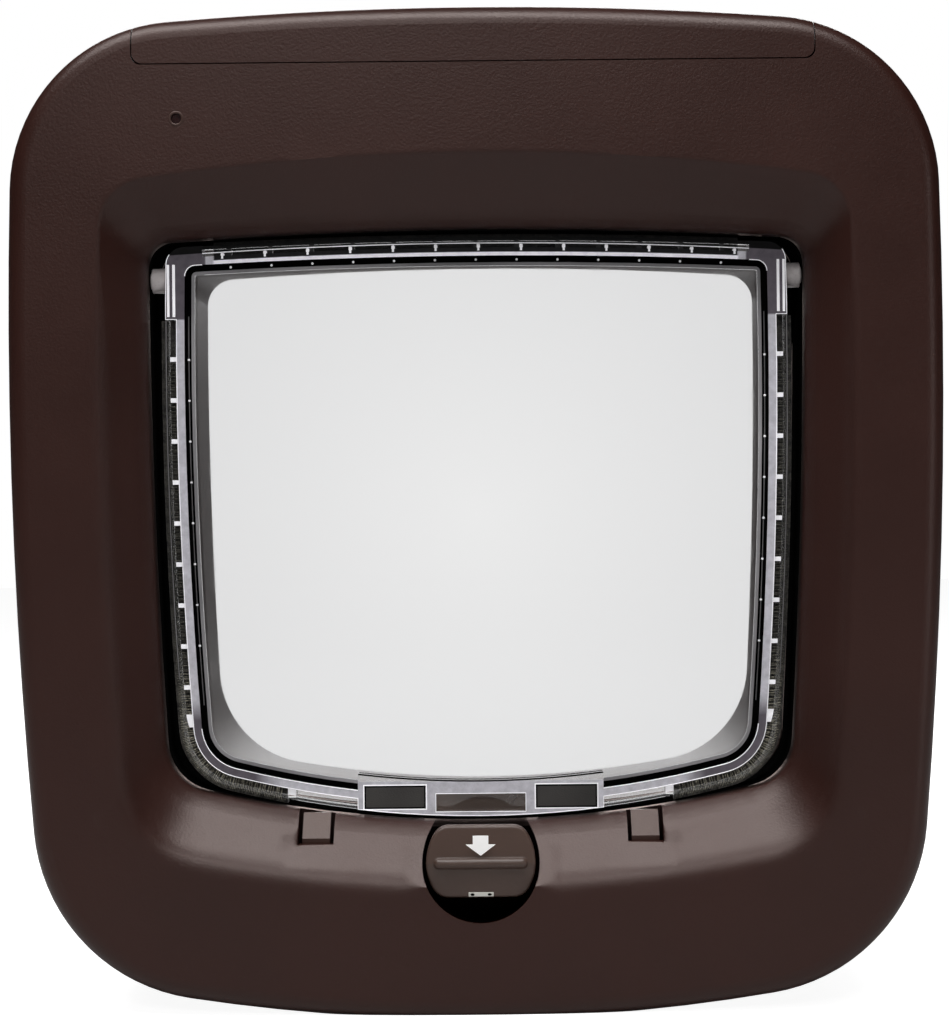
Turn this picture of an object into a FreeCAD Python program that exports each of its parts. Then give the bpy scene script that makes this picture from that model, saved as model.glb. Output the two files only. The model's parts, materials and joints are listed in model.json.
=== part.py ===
import FreeCAD, Part
import math
import os

from FreeCAD import Placement, Rotation, Vector

document = FreeCAD.newDocument("CatFlap")
sheet = document.addObject("Spreadsheet::Sheet", "Sizes")

# Driving sizes in millimetres and degrees. X runs to the right, Z up, and Y from the room into
# the door. The door face is Y = 0, so the room side has negative Y.
# An arched outline has a crowned top, two leaning sides and a bowed bottom, with four round corners.
DRIVING_SIZES = {
    # clear flap: half width of its top edge, how much narrower it is below, top and bottom edge
    "flap_half_top": 77.6,
    "flap_taper": 4.0,
    "flap_top": 69.1,
    "flap_bottom": -76.1,
    "flap_top_rise": 2.1,
    "flap_side_bulge": 1.8,
    "flap_bottom_rise": 10.9,
    "flap_top_radius": 7.5,
    "flap_bottom_radius": 16,
    "flap_thickness": 7,
    "pane_thickness": 2.4,
    "pane_offset": 0.4,
    "channel_width": 2.7,
    "rail_width": 2.0,
    "rail_root": 0.5,
    "back_flange": 1.5,
    "inner_rib_inset": 6.2,
    "inner_rib_width": 0.8,
    "inner_rib_height": 1.0,
    "fin_pitch": 10.3,
    "fin_width": 1.1,
    "fin_thickness": 1.2,
    "fin_length": 2.2,
    "fin_root": 0.6,
    "fin_setback": 0.5,
    "fin_clearance": 2,
    "rim_width": 0.9,
    "side_clip_rise": 24.4,
    "side_clip_height": 3.2,
    "end_clip_place": 47.4,
    "end_clip_width": 2.0,
    "end_clip_rise": 0.3,
    "foot_half_length": 30.8,
    "foot_height": 8.5,
    "window_half_width": 11.3,
    "window_height": 4.6,
    "window_rise": 1.0,
    "window_web": 2.0,
    "corner_limb": 20,
    "corner_arm": 9,
    "corner_radius": 4.5,
    # throat at the bottom of the funnel, in which the flap hangs with a gap all round
    "throat_gap_side": 4.3,
    "throat_taper": 4.3,
    "throat_gap_top": 1.7,
    "throat_gap_bottom": 0.9,
    "throat_top_rise": 2.9,
    "throat_side_bulge": 1.2,
    "throat_bottom_rise": 10.4,
    "throat_top_radius": 6.2,
    "throat_bottom_radius": 12.9,
    # crease where the dished funnel leaves the front face, and the funnel's own shape
    "slope_side": 9.4,
    "slope_taper": 1.3,
    "slope_top": 17.0,
    "slope_bottom": 14.4,
    "crease_top_rise": 7.4,
    "crease_side_bulge": 2.9,
    "crease_bottom_rise": 10.3,
    "crease_top_radius": 12.3,
    "crease_bottom_radius": 21.5,
    "funnel_depth": 16,
    "funnel_shoulder_share": 0.25,
    "funnel_slope_share": 0.8,
    # front face around the crease, and the outer outline of the indoor frame
    "face_side": 21.2,
    "frame_taper": 6.2,
    "face_top": 36.2,
    "face_bottom": 32.9,
    "frame_top_rise": 6.6,
    "frame_side_bulge": 4.8,
    "frame_bottom_rise": 12.7,
    "frame_top_radius": 42.1,
    "frame_bottom_radius": 45.4,
    "frame_wall": 2.5,
    "frame_edge_radius": 5,
    # passage through the door
    "sleeve_gap_side": 1.1,
    "sleeve_taper": 3.8,
    "sleeve_gap_top": 1.6,
    "sleeve_gap_bottom": 1.5,
    "sleeve_top_rise": 3.0,
    "sleeve_side_bulge": 1.4,
    "sleeve_bottom_rise": 9.5,
    "sleeve_top_radius": 8.0,
    "sleeve_bottom_radius": 28.3,
    "sleeve_wall": 1.8,
    "sleeve_play": 0.15,
    "sleeve_start": 10,
    "liner_wall": 2.0,
    "liner_overlap": 26,
    "plate_thickness": 3,
    "plate_play": 0.25,
    "door_gap": 56,
    # outdoor frame
    "outdoor_inset": 4,
    "outdoor_depth": 18,
    "outdoor_edge_radius": 4,
    # hinge
    "hinge_drop": 10,
    "hinge_boss_radius": 3.1,
    "hinge_boss_gap": 0.5,
    "hinge_boss_root": 3,
    "hinge_pin_radius": 2.0,
    "hinge_pin_reach": 2.1,
    "hinge_play": 0.1,
    # brush strips
    "brush_side_reach": 1.3,
    "brush_top_reach": 0.9,
    "brush_play": 0.2,
    "brush_corner_room": 2.6,
    # magnets in the foot of the flap and under the sill
    "magnet_place": 21.5,
    "magnet_length": 14.8,
    "magnet_height": 5.2,
    "magnet_thickness": 4.2,
    "magnet_rise": 4.8,
    "magnet_play": 0.15,
    "sill_magnet_height": 3.5,
    # four-way lock dial, its neck into the throat, and the hood behind it
    "dial_drop": 9.7,
    "dial_radius": 13.4,
    "dial_play": 0.9,
    "dial_top_flat": 9.0,
    "dial_bottom_flat": 8.5,
    "dial_setback": 0.8,
    "dial_thickness": 10.9,
    "dial_plate_thickness": 5.2,
    "dial_corner_radius": 4.2,
    "dial_edge_radius": 0.6,
    "dial_face_drop": 1.0,
    "dial_upper_end_drop": 2.4,
    "dial_lower_end_drop": 2.2,
    "dial_ridge_radius": 1.35,
    "dial_ridge_length": 23.1,
    "dial_hub_radius": 7.5,
    "well_play": 0.3,
    "well_wall": 2.5,
    "neck_half_width": 11.3,
    "neck_reach": 6,
    "dial_shaft_radius": 4,
    "dial_shaft_play": 0.1,
    "cam_radius": 12.6,
    "cam_thickness": 3.4,
    "cam_gap": 1.4,
    "cam_slot_play": 0.5,
    "cam_slot_reach": 3,
    "dial_screw_head": 3.3,
    "dial_screw_length": 9,
    "hood_radius": 12,
    "hood_rise": 0.5,
    "hood_length": 10,
    # electric catches in their pockets
    "catch_width": 6.8,
    "catch_rise": 1.5,
    "catch_gap": 1.1,
    "catch_depth": 5.6,
    "catch_chamfer": 5.8,
    "catch_crown": 1.0,
    "catch_play": 0.3,
    "pocket_width": 8.9,
    "pocket_drop": 4.6,
    "pocket_wall": 1.8,
    "pocket_reach": 8,
    # lift bar, electromagnet and plunger
    "lock_travel": 5,
    "bar_height": 3,
    "bar_drop": 33,
    "bar_depth": 3,
    "bar_back": -11,
    "bar_end_margin": 2,
    "catch_coil_room": 23.2,
    "coil_screw_room": 14,
    "lock_coil_width": 15,
    "lock_coil_front": -20,
    "lock_coil_rise": 20,
    "lock_coil_height": 14.5,
    "lock_coil_cap": 2.5,
    "plunger_radius": 3,
    "plunger_length": 12,
    "plunger_play": 0.1,
    # battery bay and cover
    "cell_radius": 7.25,
    "cell_length": 50.5,
    "cell_end_play": 0.05,
    "nub_radius": 2.75,
    "nub_length": 1.0,
    "cell_play": 0.1,
    "cell_front_play": 0.3,
    "cell_row_gap": 0.9,
    "cell_rear_room": 2.3,
    "contact_room": 3.2,
    "contact_play": 0.15,
    "contact_thickness": 0.5,
    "contact_inset": 0.8,
    "contact_half_width": 5.5,
    "contact_height": 9,
    "tray_drop": 18,
    "tray_wall": 2,
    "tray_wall_height": 15,
    "cover_height": 14.3,
    "cover_end_room": 29.1,
    "cover_gap": 0.3,
    "cover_corner": 2.5,
    "cover_back": -6,
    "cover_lip_length": 10,
    "cover_lip_depth": 4,
    "cover_lip_thickness": 1.2,
    "cover_lip_place": 45,
    # status light, circuit board and learn switch
    "led_board_inset": 18.6,
    "led_drop": 13.2,
    "led_radius": 1.25,
    "led_play": 0.1,
    "led_recess_radius": 1.8,
    "led_recess_depth": 0.6,
    "led_setback": 0.4,
    "board_gap": 4.3,
    "board_end_room": 20.4,
    "board_length": 31,
    "board_height": 15,
    "board_drop": 1.7,
    "board_setback": 8,
    "board_thickness": 1.6,
    "board_post_radius": 2.5,
    "board_post_margin": 4,
    "switch_gap": 9.3,
    "switch_setback": 18,
    "switch_width": 10,
    "switch_height": 7.5,
    "button_radius": 3,
    "button_length": 7,
    "button_depth": 3,
    "button_play": 0.1,
    "button_travel": 1.2,
    "button_end_play": 0.3,
    # aerial coil around the throat
    "aerial_width": 2.4,
    "aerial_length": 3.3,
    "aerial_front": -9.6,
    "aerial_play": 0.2,
    # fixings
    "fixing_side_room": 14.1,
    "fixing_top_drop": 3.1,
    "fixing_bottom_drop": 1.9,
    "fixing_radius": 2,
    "fixing_play": 0.05,
    "fixing_hole_radius": 2.25,
    "fixing_head_radius": 4,
    "fixing_head_play": 0.3,
    "fixing_head_height": 3,
    "fixing_head_depth": 7,
    "fixing_bite": 26,
    "boss_radius": 4.6,
    "outdoor_boss_radius": 5.6,
    "cover_screw_side_room": 16.1,
    "cover_screw_lower_inset": 20,
    "cover_screw_top_room": 20.2,
    "cover_screw_bottom_room": 26,
    "cover_screw_radius": 1.45,
    "cover_screw_length": 11,
    "cover_screw_head_radius": 2.8,
    "cover_screw_head_height": 1.7,
    "cover_screw_head_play": 0.1,
    "cover_screw_play": 0.2,
    "cover_boss_radius": 3.8,
    "cross_reach": 1.2,
    "slot_width": 0.9,
    "slot_depth": 0.9,
    # how far a cut runs past a face, and how far one solid runs into another to join it
    "overcut": 1,
    "root": 0.5,
}

# Sizes that follow from the driving sizes, as formulas in the same sheet
LINKED_SIZES = {
    "flap_half_bottom": "flap_half_top - flap_taper",
    "throat_half_top": "flap_half_top + throat_gap_side",
    "throat_half_bottom": "throat_half_top - throat_taper",
    "throat_top": "flap_top + throat_gap_top",
    "throat_bottom": "flap_bottom - throat_gap_bottom",
    "crease_half_top": "throat_half_top + slope_side",
    "crease_half_bottom": "throat_half_bottom + slope_side - slope_taper",
    "crease_top": "throat_top + slope_top",
    "crease_bottom": "throat_bottom - slope_bottom",
    "cells_end": "cell_length + contact_room + tray_wall",
    "board_right": "-cells_end - board_gap",
    "board_left": "board_right - board_length",
    "frame_half_top": "max(crease_half_top + face_side; board_end_room - board_left)",
    "frame_half_bottom": "frame_half_top - frame_taper",
    "frame_top": "crease_top + face_top",
    "frame_bottom": "crease_bottom - face_bottom",
    "sleeve_half_top": "throat_half_top - sleeve_gap_side",
    "sleeve_half_bottom": "sleeve_half_top - sleeve_taper",
    "sleeve_top": "throat_top + sleeve_gap_top",
    "sleeve_bottom": "throat_bottom - sleeve_gap_bottom",
    "liner_end": "sleeve_start + liner_overlap",
    "cell_rows_depth": "cell_front_play + 4 * cell_radius + cell_row_gap + cell_rear_room",
    "frame_depth": "frame_wall + cell_rows_depth + plate_thickness",
    "flap_middle": "-frame_depth + funnel_depth + 3",
    "hinge_height": "flap_top - hinge_drop",
    "brush_top_half": "flap_half_top - corner_arm - brush_corner_room",
    "magnet_middle": "flap_bottom + magnet_rise",
    "dial_height": "flap_bottom - dial_drop",
    "dial_front": "-frame_depth + dial_setback",
    "dial_back": "dial_front + dial_thickness",
    "well_floor": "dial_back + well_play",
    "hood_top": "flap_bottom + hood_rise",
    "catch_back": "flap_middle - flap_thickness / 2 - catch_gap",
    "catch_front": "catch_back - catch_depth",
    "catch_top": "flap_bottom + catch_rise",
    "catch_brow": "catch_top - catch_chamfer",
    "pocket_bottom": "throat_bottom - pocket_drop",
    "bar_top": "throat_bottom - bar_drop",
    "lock_coil_top": "bar_top + lock_coil_rise",
    "cover_seam": "frame_top - cover_height",
    "cover_half_length": "frame_half_top - cover_end_room",
    "tray_floor_top": "cover_seam - tray_drop",
    "led_place": "board_left + led_board_inset",
    "led_height": "cover_seam - led_drop",
    "board_top": "cover_seam - board_drop",
    "board_bottom": "board_top - board_height",
    "board_front": "-frame_depth + board_setback",
    "switch_place": "cells_end + switch_gap + switch_width / 2",
    "switch_middle": "-frame_depth + switch_setback",
    "button_low": "tray_floor_top + switch_height - button_depth",
    "fixing_place": "throat_half_top + fixing_side_room",
    "fixing_top": "flap_top - fixing_top_drop",
    "fixing_bottom": "flap_bottom - fixing_bottom_drop",
    "cover_screw_place_top": "throat_half_top + cover_screw_side_room",
    "cover_screw_place_bottom": "cover_screw_place_top - cover_screw_lower_inset",
    "lock_coil_place": "cover_screw_place_bottom - coil_screw_room",
    "catch_place": "lock_coil_place - catch_coil_room",
    "cover_screw_top": "throat_top + cover_screw_top_room",
    "cover_screw_bottom": "throat_bottom - cover_screw_bottom_room",
}

rows = list(DRIVING_SIZES.items()) + [(name, f"={formula}") for name, formula in LINKED_SIZES.items()]
for row, (name, value) in enumerate(rows, start=1):
    sheet.set(f"A{row}", name)
    sheet.set(f"B{row}", str(value))
    sheet.setAlias(f"B{row}", name)
document.recompute()

nodes = []

NEAR = 0.01  # how close two coordinates must be to count as one


def size(name):
    return float(sheet.get(name))


# Arched outlines

OUTLINE_SIZES = (
    "half_top",
    "half_bottom",
    "top",
    "bottom",
    "top_rise",
    "side_bulge",
    "bottom_rise",
    "top_radius",
    "bottom_radius",
)


def outline(family):
    return [size(f"{family}_{part}") for part in OUTLINE_SIZES]


def between(first, second, share):
    return [a + (b - a) * share for a, b in zip(first, second)]


def chord_radius(half_chord, rise):
    return (half_chord**2 + rise**2) / (2 * rise)


def corner_arc(first, second, radius, near):
    """Centre and ends of the round corner that touches two arcs from inside."""
    (centre_a, radius_a), (centre_b, radius_b) = first, second
    reach_a = radius_a - radius
    reach_b = radius_b - radius
    line = centre_b - centre_a
    span = line.Length
    along = (span**2 + reach_a**2 - reach_b**2) / (2 * span)
    aside = math.sqrt(reach_a**2 - along**2)
    unit = line * (1 / span)
    normal = Vector(-unit.z, 0, unit.x)
    choices = [centre_a + unit * along + normal * aside * side for side in (1, -1)]
    centre = min(choices, key=lambda point: point.distanceToPoint(near))
    end_a = centre_a + (centre - centre_a) * (radius_a / reach_a)
    end_b = centre_b + (centre - centre_b) * (radius_b / reach_b)
    return centre, end_a, end_b


def arc_edge(centre, radius, start, end, depth):
    middle = (start + end) * 0.5 - centre
    middle = centre + middle * (radius / middle.Length)
    points = [Vector(point.x, depth, point.z) for point in (start, middle, end)]
    return Part.Arc(*points).toShape()


def mirrored(point):
    return Vector(-point.x, point.y, point.z)


def outline_wire(values, depth, grow=0.0):
    """Closed wire of eight arcs at the given Y, moved outwards by grow."""
    half_top, half_bottom, top, bottom, top_rise, bulge, bottom_rise, radius_top, radius_bottom = values
    top_arc_radius = chord_radius(half_top, top_rise)
    bottom_arc_radius = chord_radius(half_bottom, bottom_rise)
    top_centre = Vector(0, 0, top - top_arc_radius)
    bottom_centre = Vector(0, 0, bottom + bottom_arc_radius)
    upper = Vector(half_top, 0, top - top_rise)
    lower = Vector(half_bottom, 0, bottom + bottom_rise)
    side = lower - upper
    side_radius = chord_radius(side.Length / 2, bulge)
    outwards = Vector(-side.z, 0, side.x).normalize()
    side_centre = (upper + lower) * 0.5 + outwards * (bulge - side_radius)
    top_arc = (top_centre, top_arc_radius)
    side_arc = (side_centre, side_radius)
    bottom_arc = (bottom_centre, bottom_arc_radius)
    high, high_start, high_end = corner_arc(top_arc, side_arc, radius_top, upper)
    low, low_start, low_end = corner_arc(side_arc, bottom_arc, radius_bottom, lower)

    def grown(centre, radius, point):
        return centre + (point - centre) * ((radius + grow) / radius)

    a = grown(high, radius_top, high_start)
    b = grown(high, radius_top, high_end)
    c = grown(low, radius_bottom, low_start)
    d = grown(low, radius_bottom, low_end)
    edges = [
        arc_edge(top_centre, top_arc_radius + grow, mirrored(a), a, depth),
        arc_edge(high, radius_top + grow, a, b, depth),
        arc_edge(side_centre, side_radius + grow, b, c, depth),
        arc_edge(low, radius_bottom + grow, c, d, depth),
        arc_edge(bottom_centre, bottom_arc_radius + grow, d, mirrored(d), depth),
        arc_edge(mirrored(low), radius_bottom + grow, mirrored(d), mirrored(c), depth),
        arc_edge(mirrored(side_centre), side_radius + grow, mirrored(c), mirrored(b), depth),
        arc_edge(mirrored(high), radius_top + grow, mirrored(b), mirrored(a), depth),
    ]
    return Part.Wire(edges)


def outline_block(values, front, back, grow=0.0):
    face = Part.Face(outline_wire(values, front, grow))
    return face.extrude(Vector(0, back - front, 0))


def outline_ring(values, front, back, outer, inner):
    return outline_block(values, front, back, outer).cut(outline_block(values, front, back, inner))


# Plain solids

def block(x_range, y_range, z_range):
    low = Vector(x_range[0], y_range[0], z_range[0])
    spans = [pair[1] - pair[0] for pair in (x_range, y_range, z_range)]
    return Part.makeBox(*spans, low)


def rod(radius, x, z, front, back):
    return Part.makeCylinder(radius, back - front, Vector(x, front, z), Vector(0, 1, 0))


def mirror_x(shape):
    return shape.mirror(Vector(0, 0, 0), Vector(1, 0, 0))


def both_sides(shape):
    return shape.fuse(mirror_x(shape))


def edges_in_plane(shape, depth):
    def lies_in_plane(edge):
        box = edge.BoundBox
        return abs(box.YMin - depth) < NEAR and abs(box.YMax - depth) < NEAR

    return [edge for edge in shape.Edges if lies_in_plane(edge)]


def free_shape(label, shape):
    """A node whose shape no primitive or sketch feature gives."""
    solid = shape.removeSplitter()
    if solid.ShapeType != "Solid" and len(solid.Solids) == 1:
        solid = solid.Solids[0]
    feature = document.addObject("Part::Feature", label)
    feature.Shape = solid
    feature.Placement = Placement()
    feature.Label = label
    nodes.append(feature)
    return feature


def bind(feature, **expressions):
    for name, expression in expressions.items():
        feature.setExpression(name.replace("_", "."), expression)


def node(feature, label):
    feature.Label = label
    nodes.append(feature)
    return feature


over = size("overcut")
root = size("root")
frame_outline = outline("frame")
crease_outline = outline("crease")
throat_outline = outline("throat")
sleeve_outline = outline("sleeve")
flap_outline = outline("flap")
bracket_outline = flap_outline[:-2] + [size("corner_radius"), size("flap_bottom_radius")]

front_plane = -size("frame_depth")
wall = size("frame_wall")
front_skin = front_plane + wall
throat_front = front_plane + size("funnel_depth")
plate_front = -size("plate_thickness")
door_back = size("door_gap")
outdoor_face = door_back + size("outdoor_depth")
liner_inner = size("sleeve_wall") + size("sleeve_play")
liner_outer = liner_inner + size("liner_wall")
flap_front = size("flap_middle") - size("flap_thickness") / 2
flap_back = size("flap_middle") + size("flap_thickness") / 2
fixing_points = [
    (side * size("fixing_place"), height)
    for height in (size("fixing_top"), size("fixing_bottom"))
    for side in (-1, 1)
]
cover_screw_points = [
    (side * size(f"cover_screw_place_{end}"), size(f"cover_screw_{end}"))
    for end in ("top", "bottom")
    for side in (-1, 1)
]


# Indoor frame: a deep moulded shell, open at the back, dished around the throat

def funnel_solid(grow):
    """The dish: a straight slope that turns into the throat over a round shoulder."""
    depth = size("funnel_depth")
    slope_end = 1 - size("funnel_shoulder_share")
    corner_sink = size("funnel_slope_share")
    start_sink = corner_sink * slope_end

    def wire_at(share, sink):
        values = between(crease_outline, throat_outline, share)
        return outline_wire(values, front_plane + depth * sink, grow)

    def shoulder_point(t):
        start, corner, end = (1 - t) ** 2, 2 * t * (1 - t), t**2
        return start * slope_end + corner + end, start * start_sink + corner * corner_sink + end

    shoulder_wires = [wire_at(*shoulder_point(step / 3)) for step in range(4)]
    slope = Part.makeLoft([wire_at(0, 0), shoulder_wires[0]], True, True)
    shoulder = Part.makeLoft(shoulder_wires, True, False)
    return slope.fuse([shoulder, outline_block(throat_outline, throat_front, plate_front, grow)])


def dial_well(radius, floor, neck):
    height = size("dial_height")
    well = rod(radius, 0, height, front_plane - over, floor)
    neck_top = size("throat_bottom") + size("neck_reach")
    passage = block((-neck, neck), (front_plane - over, floor), (height, neck_top))
    return well.fuse(passage)


def catch_pocket(grow):
    half = size("pocket_width") / 2 + grow
    middle = size("catch_place")
    top = size("throat_bottom") + size("pocket_reach")
    return block(
        (middle - half, middle + half),
        (front_plane - over, size("catch_back") + size("catch_play") + grow),
        (size("pocket_bottom") - grow, top),
    )


def catch_shaft():
    half = size("pocket_width") / 2
    middle = size("catch_place")
    return block(
        (middle - half, middle + half),
        (size("catch_front") - size("catch_play"), size("catch_back") + size("catch_play")),
        (size("pocket_bottom") - 2 * size("pocket_wall"), size("pocket_bottom") + over),
    )


cell_front_row = front_skin + size("cell_front_play") + size("cell_radius")
cell_rear_row = cell_front_row + 2 * size("cell_radius") + size("cell_row_gap")
cell_height = size("tray_floor_top") + size("cell_play") + size("cell_radius")
tray_half = size("cell_length") + size("contact_room")


def tray_walls():
    floor_top = size("tray_floor_top")
    floor_bottom = floor_top - size("tray_wall")
    left_end = -tray_half - size("tray_wall")
    right_end = size("switch_place") + size("switch_width")
    depth = (front_skin - over, plate_front)
    floor = block((left_end, right_end), depth, (floor_bottom, floor_top))
    end = block(
        (tray_half, tray_half + size("tray_wall")),
        depth,
        (floor_bottom, floor_bottom + size("tray_wall_height")),
    )
    return floor.fuse(both_sides(end))


def frame_bosses():
    bosses = [
        rod(size("boss_radius"), x, z, front_plane, plate_front) for x, z in fixing_points
    ]
    bosses += [
        rod(size("cover_boss_radius"), x, z, front_plane, plate_front) for x, z in cover_screw_points
    ]
    margin = size("board_post_margin")
    post = size("board_post_radius")
    post_height = size("board_top") - margin
    for x in (size("board_left") + margin, size("board_right") - margin):
        bosses.append(rod(post, x, post_height, front_plane, size("board_front")))
    return bosses


def frame_holes():
    play = size("fixing_play")
    bite = size("fixing_bite") + over
    holes = [rod(size("fixing_radius") + play, x, z, -bite, 0) for x, z in fixing_points]
    length = size("cover_screw_length") + over
    holes += [rod(size("cover_screw_radius") + play, x, z, -length, 0) for x, z in cover_screw_points]
    led = (size("led_place"), size("led_height"))
    led_hole = size("led_radius") + size("led_play")
    holes.append(rod(led_hole, *led, front_plane - over, front_skin + over))
    recess_back = front_plane + size("led_recess_depth")
    holes.append(rod(size("led_recess_radius"), *led, front_plane - over, recess_back))
    shaft_hole = size("dial_shaft_radius") + size("dial_shaft_play")
    holes.append(rod(shaft_hole, 0, size("dial_height"), front_plane, plate_front))
    return holes


def hinge_rod(radius, inner, outer):
    base = Vector(inner, size("flap_middle"), size("hinge_height"))
    return Part.makeCylinder(radius, outer - inner, base, Vector(1, 0, 0))


def cover_cutter(gap):
    """Rounded block that separates the battery cover from the frame."""
    half = size("cover_half_length") - gap
    seam = size("cover_seam") + gap
    back = size("cover_back") - gap
    cutter = block((-half, half), (front_plane - over, back), (seam, size("frame_top") + over))

    def is_lower_end(edge):
        box = edge.BoundBox
        return box.ZMax < seam + NEAR and box.XLength < NEAR

    return cutter.makeFillet(size("cover_corner"), [edge for edge in cutter.Edges if is_lower_end(edge)])


def rounded_frame():
    solid = outline_block(frame_outline, front_plane, 0)
    return solid.makeFillet(size("frame_edge_radius"), edges_in_plane(solid, front_plane))


cam_front = flap_back + size("cam_gap")
cam_back = cam_front + size("cam_thickness")
hollow = outline_block(frame_outline, front_skin, over, -wall)


def indoor_frame():
    kept = funnel_solid(wall)
    seat = outline_block(sleeve_outline, plate_front - wall, plate_front, liner_outer)
    well_outer = size("dial_radius") + size("dial_play") + size("well_wall")
    well_back = size("well_floor") + size("well_wall")
    sill_well = dial_well(well_outer, well_back, size("neck_half_width") + size("well_wall"))
    kept = kept.fuse([seat, sill_well, both_sides(catch_pocket(size("pocket_wall"))), tray_walls()])
    kept = kept.fuse(frame_bosses())
    room = hollow.cut(kept)
    shell = rounded_frame().cut(room)
    plate_seat = outline_block(frame_outline, plate_front, over, -wall)
    cam_slot = block(
        (-size("neck_half_width"), size("neck_half_width")),
        (cam_front - size("cam_slot_play"), cam_back + size("cam_slot_play")),
        (size("dial_height"), size("throat_bottom") + size("cam_slot_reach")),
    )
    well = dial_well(size("dial_radius") + size("dial_play"), size("well_floor"), size("neck_half_width"))
    pockets = both_sides(catch_pocket(0).fuse(catch_shaft()))
    hole_end = size("throat_half_top") + wall + over
    hinge_hole = hinge_rod(size("hinge_pin_radius") + size("hinge_play"), 0, hole_end)
    cuts = [funnel_solid(0), plate_seat, cam_slot, well, pockets, both_sides(hinge_hole), cover_cutter(0)]
    return shell.cut(cuts + frame_holes())


free_shape("indoor_frame", indoor_frame())


# Battery cover: the strip of the same shell along the top edge, with two lips that hook inside

def battery_cover():
    shell = rounded_frame().cut(hollow).common(cover_cutter(size("cover_gap")))
    lip_back = front_skin + size("cover_lip_thickness")
    seam = size("cover_seam")
    half = size("cover_lip_length") / 2
    middle = size("cover_lip_place")
    lip = block(
        (middle - half, middle + half),
        (front_skin + size("cover_gap"), lip_back + size("cover_gap")),
        (seam - size("cover_lip_depth"), seam + size("cover_lip_depth")),
    )
    web = block(
        (middle - half, middle + half),
        (front_skin - root, lip_back + size("cover_gap")),
        (seam + size("cover_gap"), seam + size("cover_lip_depth")),
    )
    return shell.fuse([both_sides(lip), both_sides(web)])


free_shape("battery_cover", battery_cover())


# Tunnel liner: the plate that closes the frame against the door, with the collar and dial hood

def tunnel_liner():
    plate = outline_block(frame_outline, plate_front, 0, -wall - size("plate_play"))
    collar = outline_block(sleeve_outline, plate_front, size("liner_end"), liner_outer)
    passage = outline_block(sleeve_outline, plate_front - over, size("liner_end") + over, liner_inner)
    hood_middle = size("hood_top") - size("hood_radius")
    hood = rod(size("hood_radius"), 0, hood_middle, 0, size("hood_length"))
    hood = hood.common(outline_block(sleeve_outline, 0, size("hood_length"), liner_outer - root))
    play = size("cover_screw_play")
    head = size("cover_screw_head_height") + size("cover_screw_head_play")
    shank_hole = size("cover_screw_radius") + play
    head_hole = size("cover_screw_head_radius") + play
    ends = (plate_front - over, over)
    holes = [rod(size("fixing_hole_radius"), x, z, *ends) for x, z in fixing_points]
    holes += [rod(shank_hole, x, z, *ends) for x, z in cover_screw_points]
    holes += [rod(head_hole, x, z, -head, over) for x, z in cover_screw_points]
    return plate.fuse(collar).cut(passage).fuse(hood).cut(holes)


free_shape("tunnel_liner", tunnel_liner())


# Outdoor frame: a shallow shell with the sleeve that slides inside the liner

def outdoor_frame():
    inset = -size("outdoor_inset")
    solid = outline_block(frame_outline, door_back, outdoor_face, inset)
    solid = solid.makeFillet(size("outdoor_edge_radius"), edges_in_plane(solid, outdoor_face))
    room = outline_block(frame_outline, door_back - over, outdoor_face - wall, inset - wall)
    kept = [rod(size("outdoor_boss_radius"), x, z, door_back, outdoor_face) for x, z in fixing_points]
    sleeve = outline_block(sleeve_outline, size("sleeve_start"), outdoor_face, size("sleeve_wall"))
    passage = outline_block(sleeve_outline, 0, outdoor_face + over)
    shell = solid.cut(room.cut(kept)).fuse(sleeve).cut(passage)
    head_front = outdoor_face - size("fixing_head_depth")
    head_hole = size("fixing_head_radius") + size("fixing_head_play")
    hole_end = outdoor_face + over
    holes = [rod(size("fixing_hole_radius"), x, z, 0, hole_end) for x, z in fixing_points]
    holes += [rod(head_hole, x, z, head_front, hole_end) for x, z in fixing_points]
    return shell.cut(holes)


free_shape("outdoor_frame", outdoor_frame())


# Flap: one clear moulding with a pane, a rail around it, a rim on fins over the brush channel,
# a solid foot for the magnets and round bosses with pins at the top corners

rail_outer = -size("channel_width")
rail_inner = rail_outer - size("rail_width")


def side_point(height):
    """X of the flap's side edge at a height, from its own arc."""
    edge = outline_wire(flap_outline, 0).Edges[2]
    line = Part.makeLine(Vector(0, 0, height), Vector(2 * size("flap_half_top"), 0, height))
    return edge.distToShape(line)[1][0][0].x


def flap_fins():
    front = flap_front + size("fin_setback")
    back = front + size("fin_thickness")
    pitch = size("fin_pitch")
    half = size("fin_width") / 2
    fins = []
    across = int((size("brush_top_half") - size("fin_clearance")) // pitch)
    for step in range(-across, across + 1):
        x = step * pitch
        rise = size("flap_top_rise") * (x / size("flap_half_top")) ** 2
        top = size("flap_top") - rise + rail_outer
        spans = (top - size("fin_root"), top + size("fin_length"))
        fins.append(block((x - half, x + half), (front, back), spans))
    height = size("hinge_height") - size("corner_limb")
    while height > size("flap_bottom") + size("flap_bottom_rise") + size("flap_bottom_radius"):
        x = side_point(height) + rail_outer
        spans = (x - size("fin_root"), x + size("fin_length"))
        fin = block(spans, (front, back), (height - half, height + half))
        fins += [fin, mirror_x(fin)]
        height -= pitch
    return fins


def flap_clips():
    """Wide bridges that hold the ends of the brush strips."""
    front = flap_front + size("fin_setback")
    height = size("flap_bottom") + size("side_clip_rise")
    half = size("side_clip_height") / 2
    x = side_point(height) + rail_outer
    spans = (x - size("fin_root"), x + size("fin_length"))
    side_clip = block(spans, (front, front + size("fin_thickness")), (height - half, height + half))
    place = size("end_clip_place")
    half = size("end_clip_width") / 2
    edge = size("flap_bottom") + size("flap_bottom_rise") * (place / size("flap_half_bottom")) ** 2
    end_clip = block(
        (place - half, place + half),
        (front, flap_back - root),
        (edge + size("end_clip_rise"), edge + size("channel_width") + root),
    )
    return [both_sides(side_clip), both_sides(end_clip)]


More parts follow.
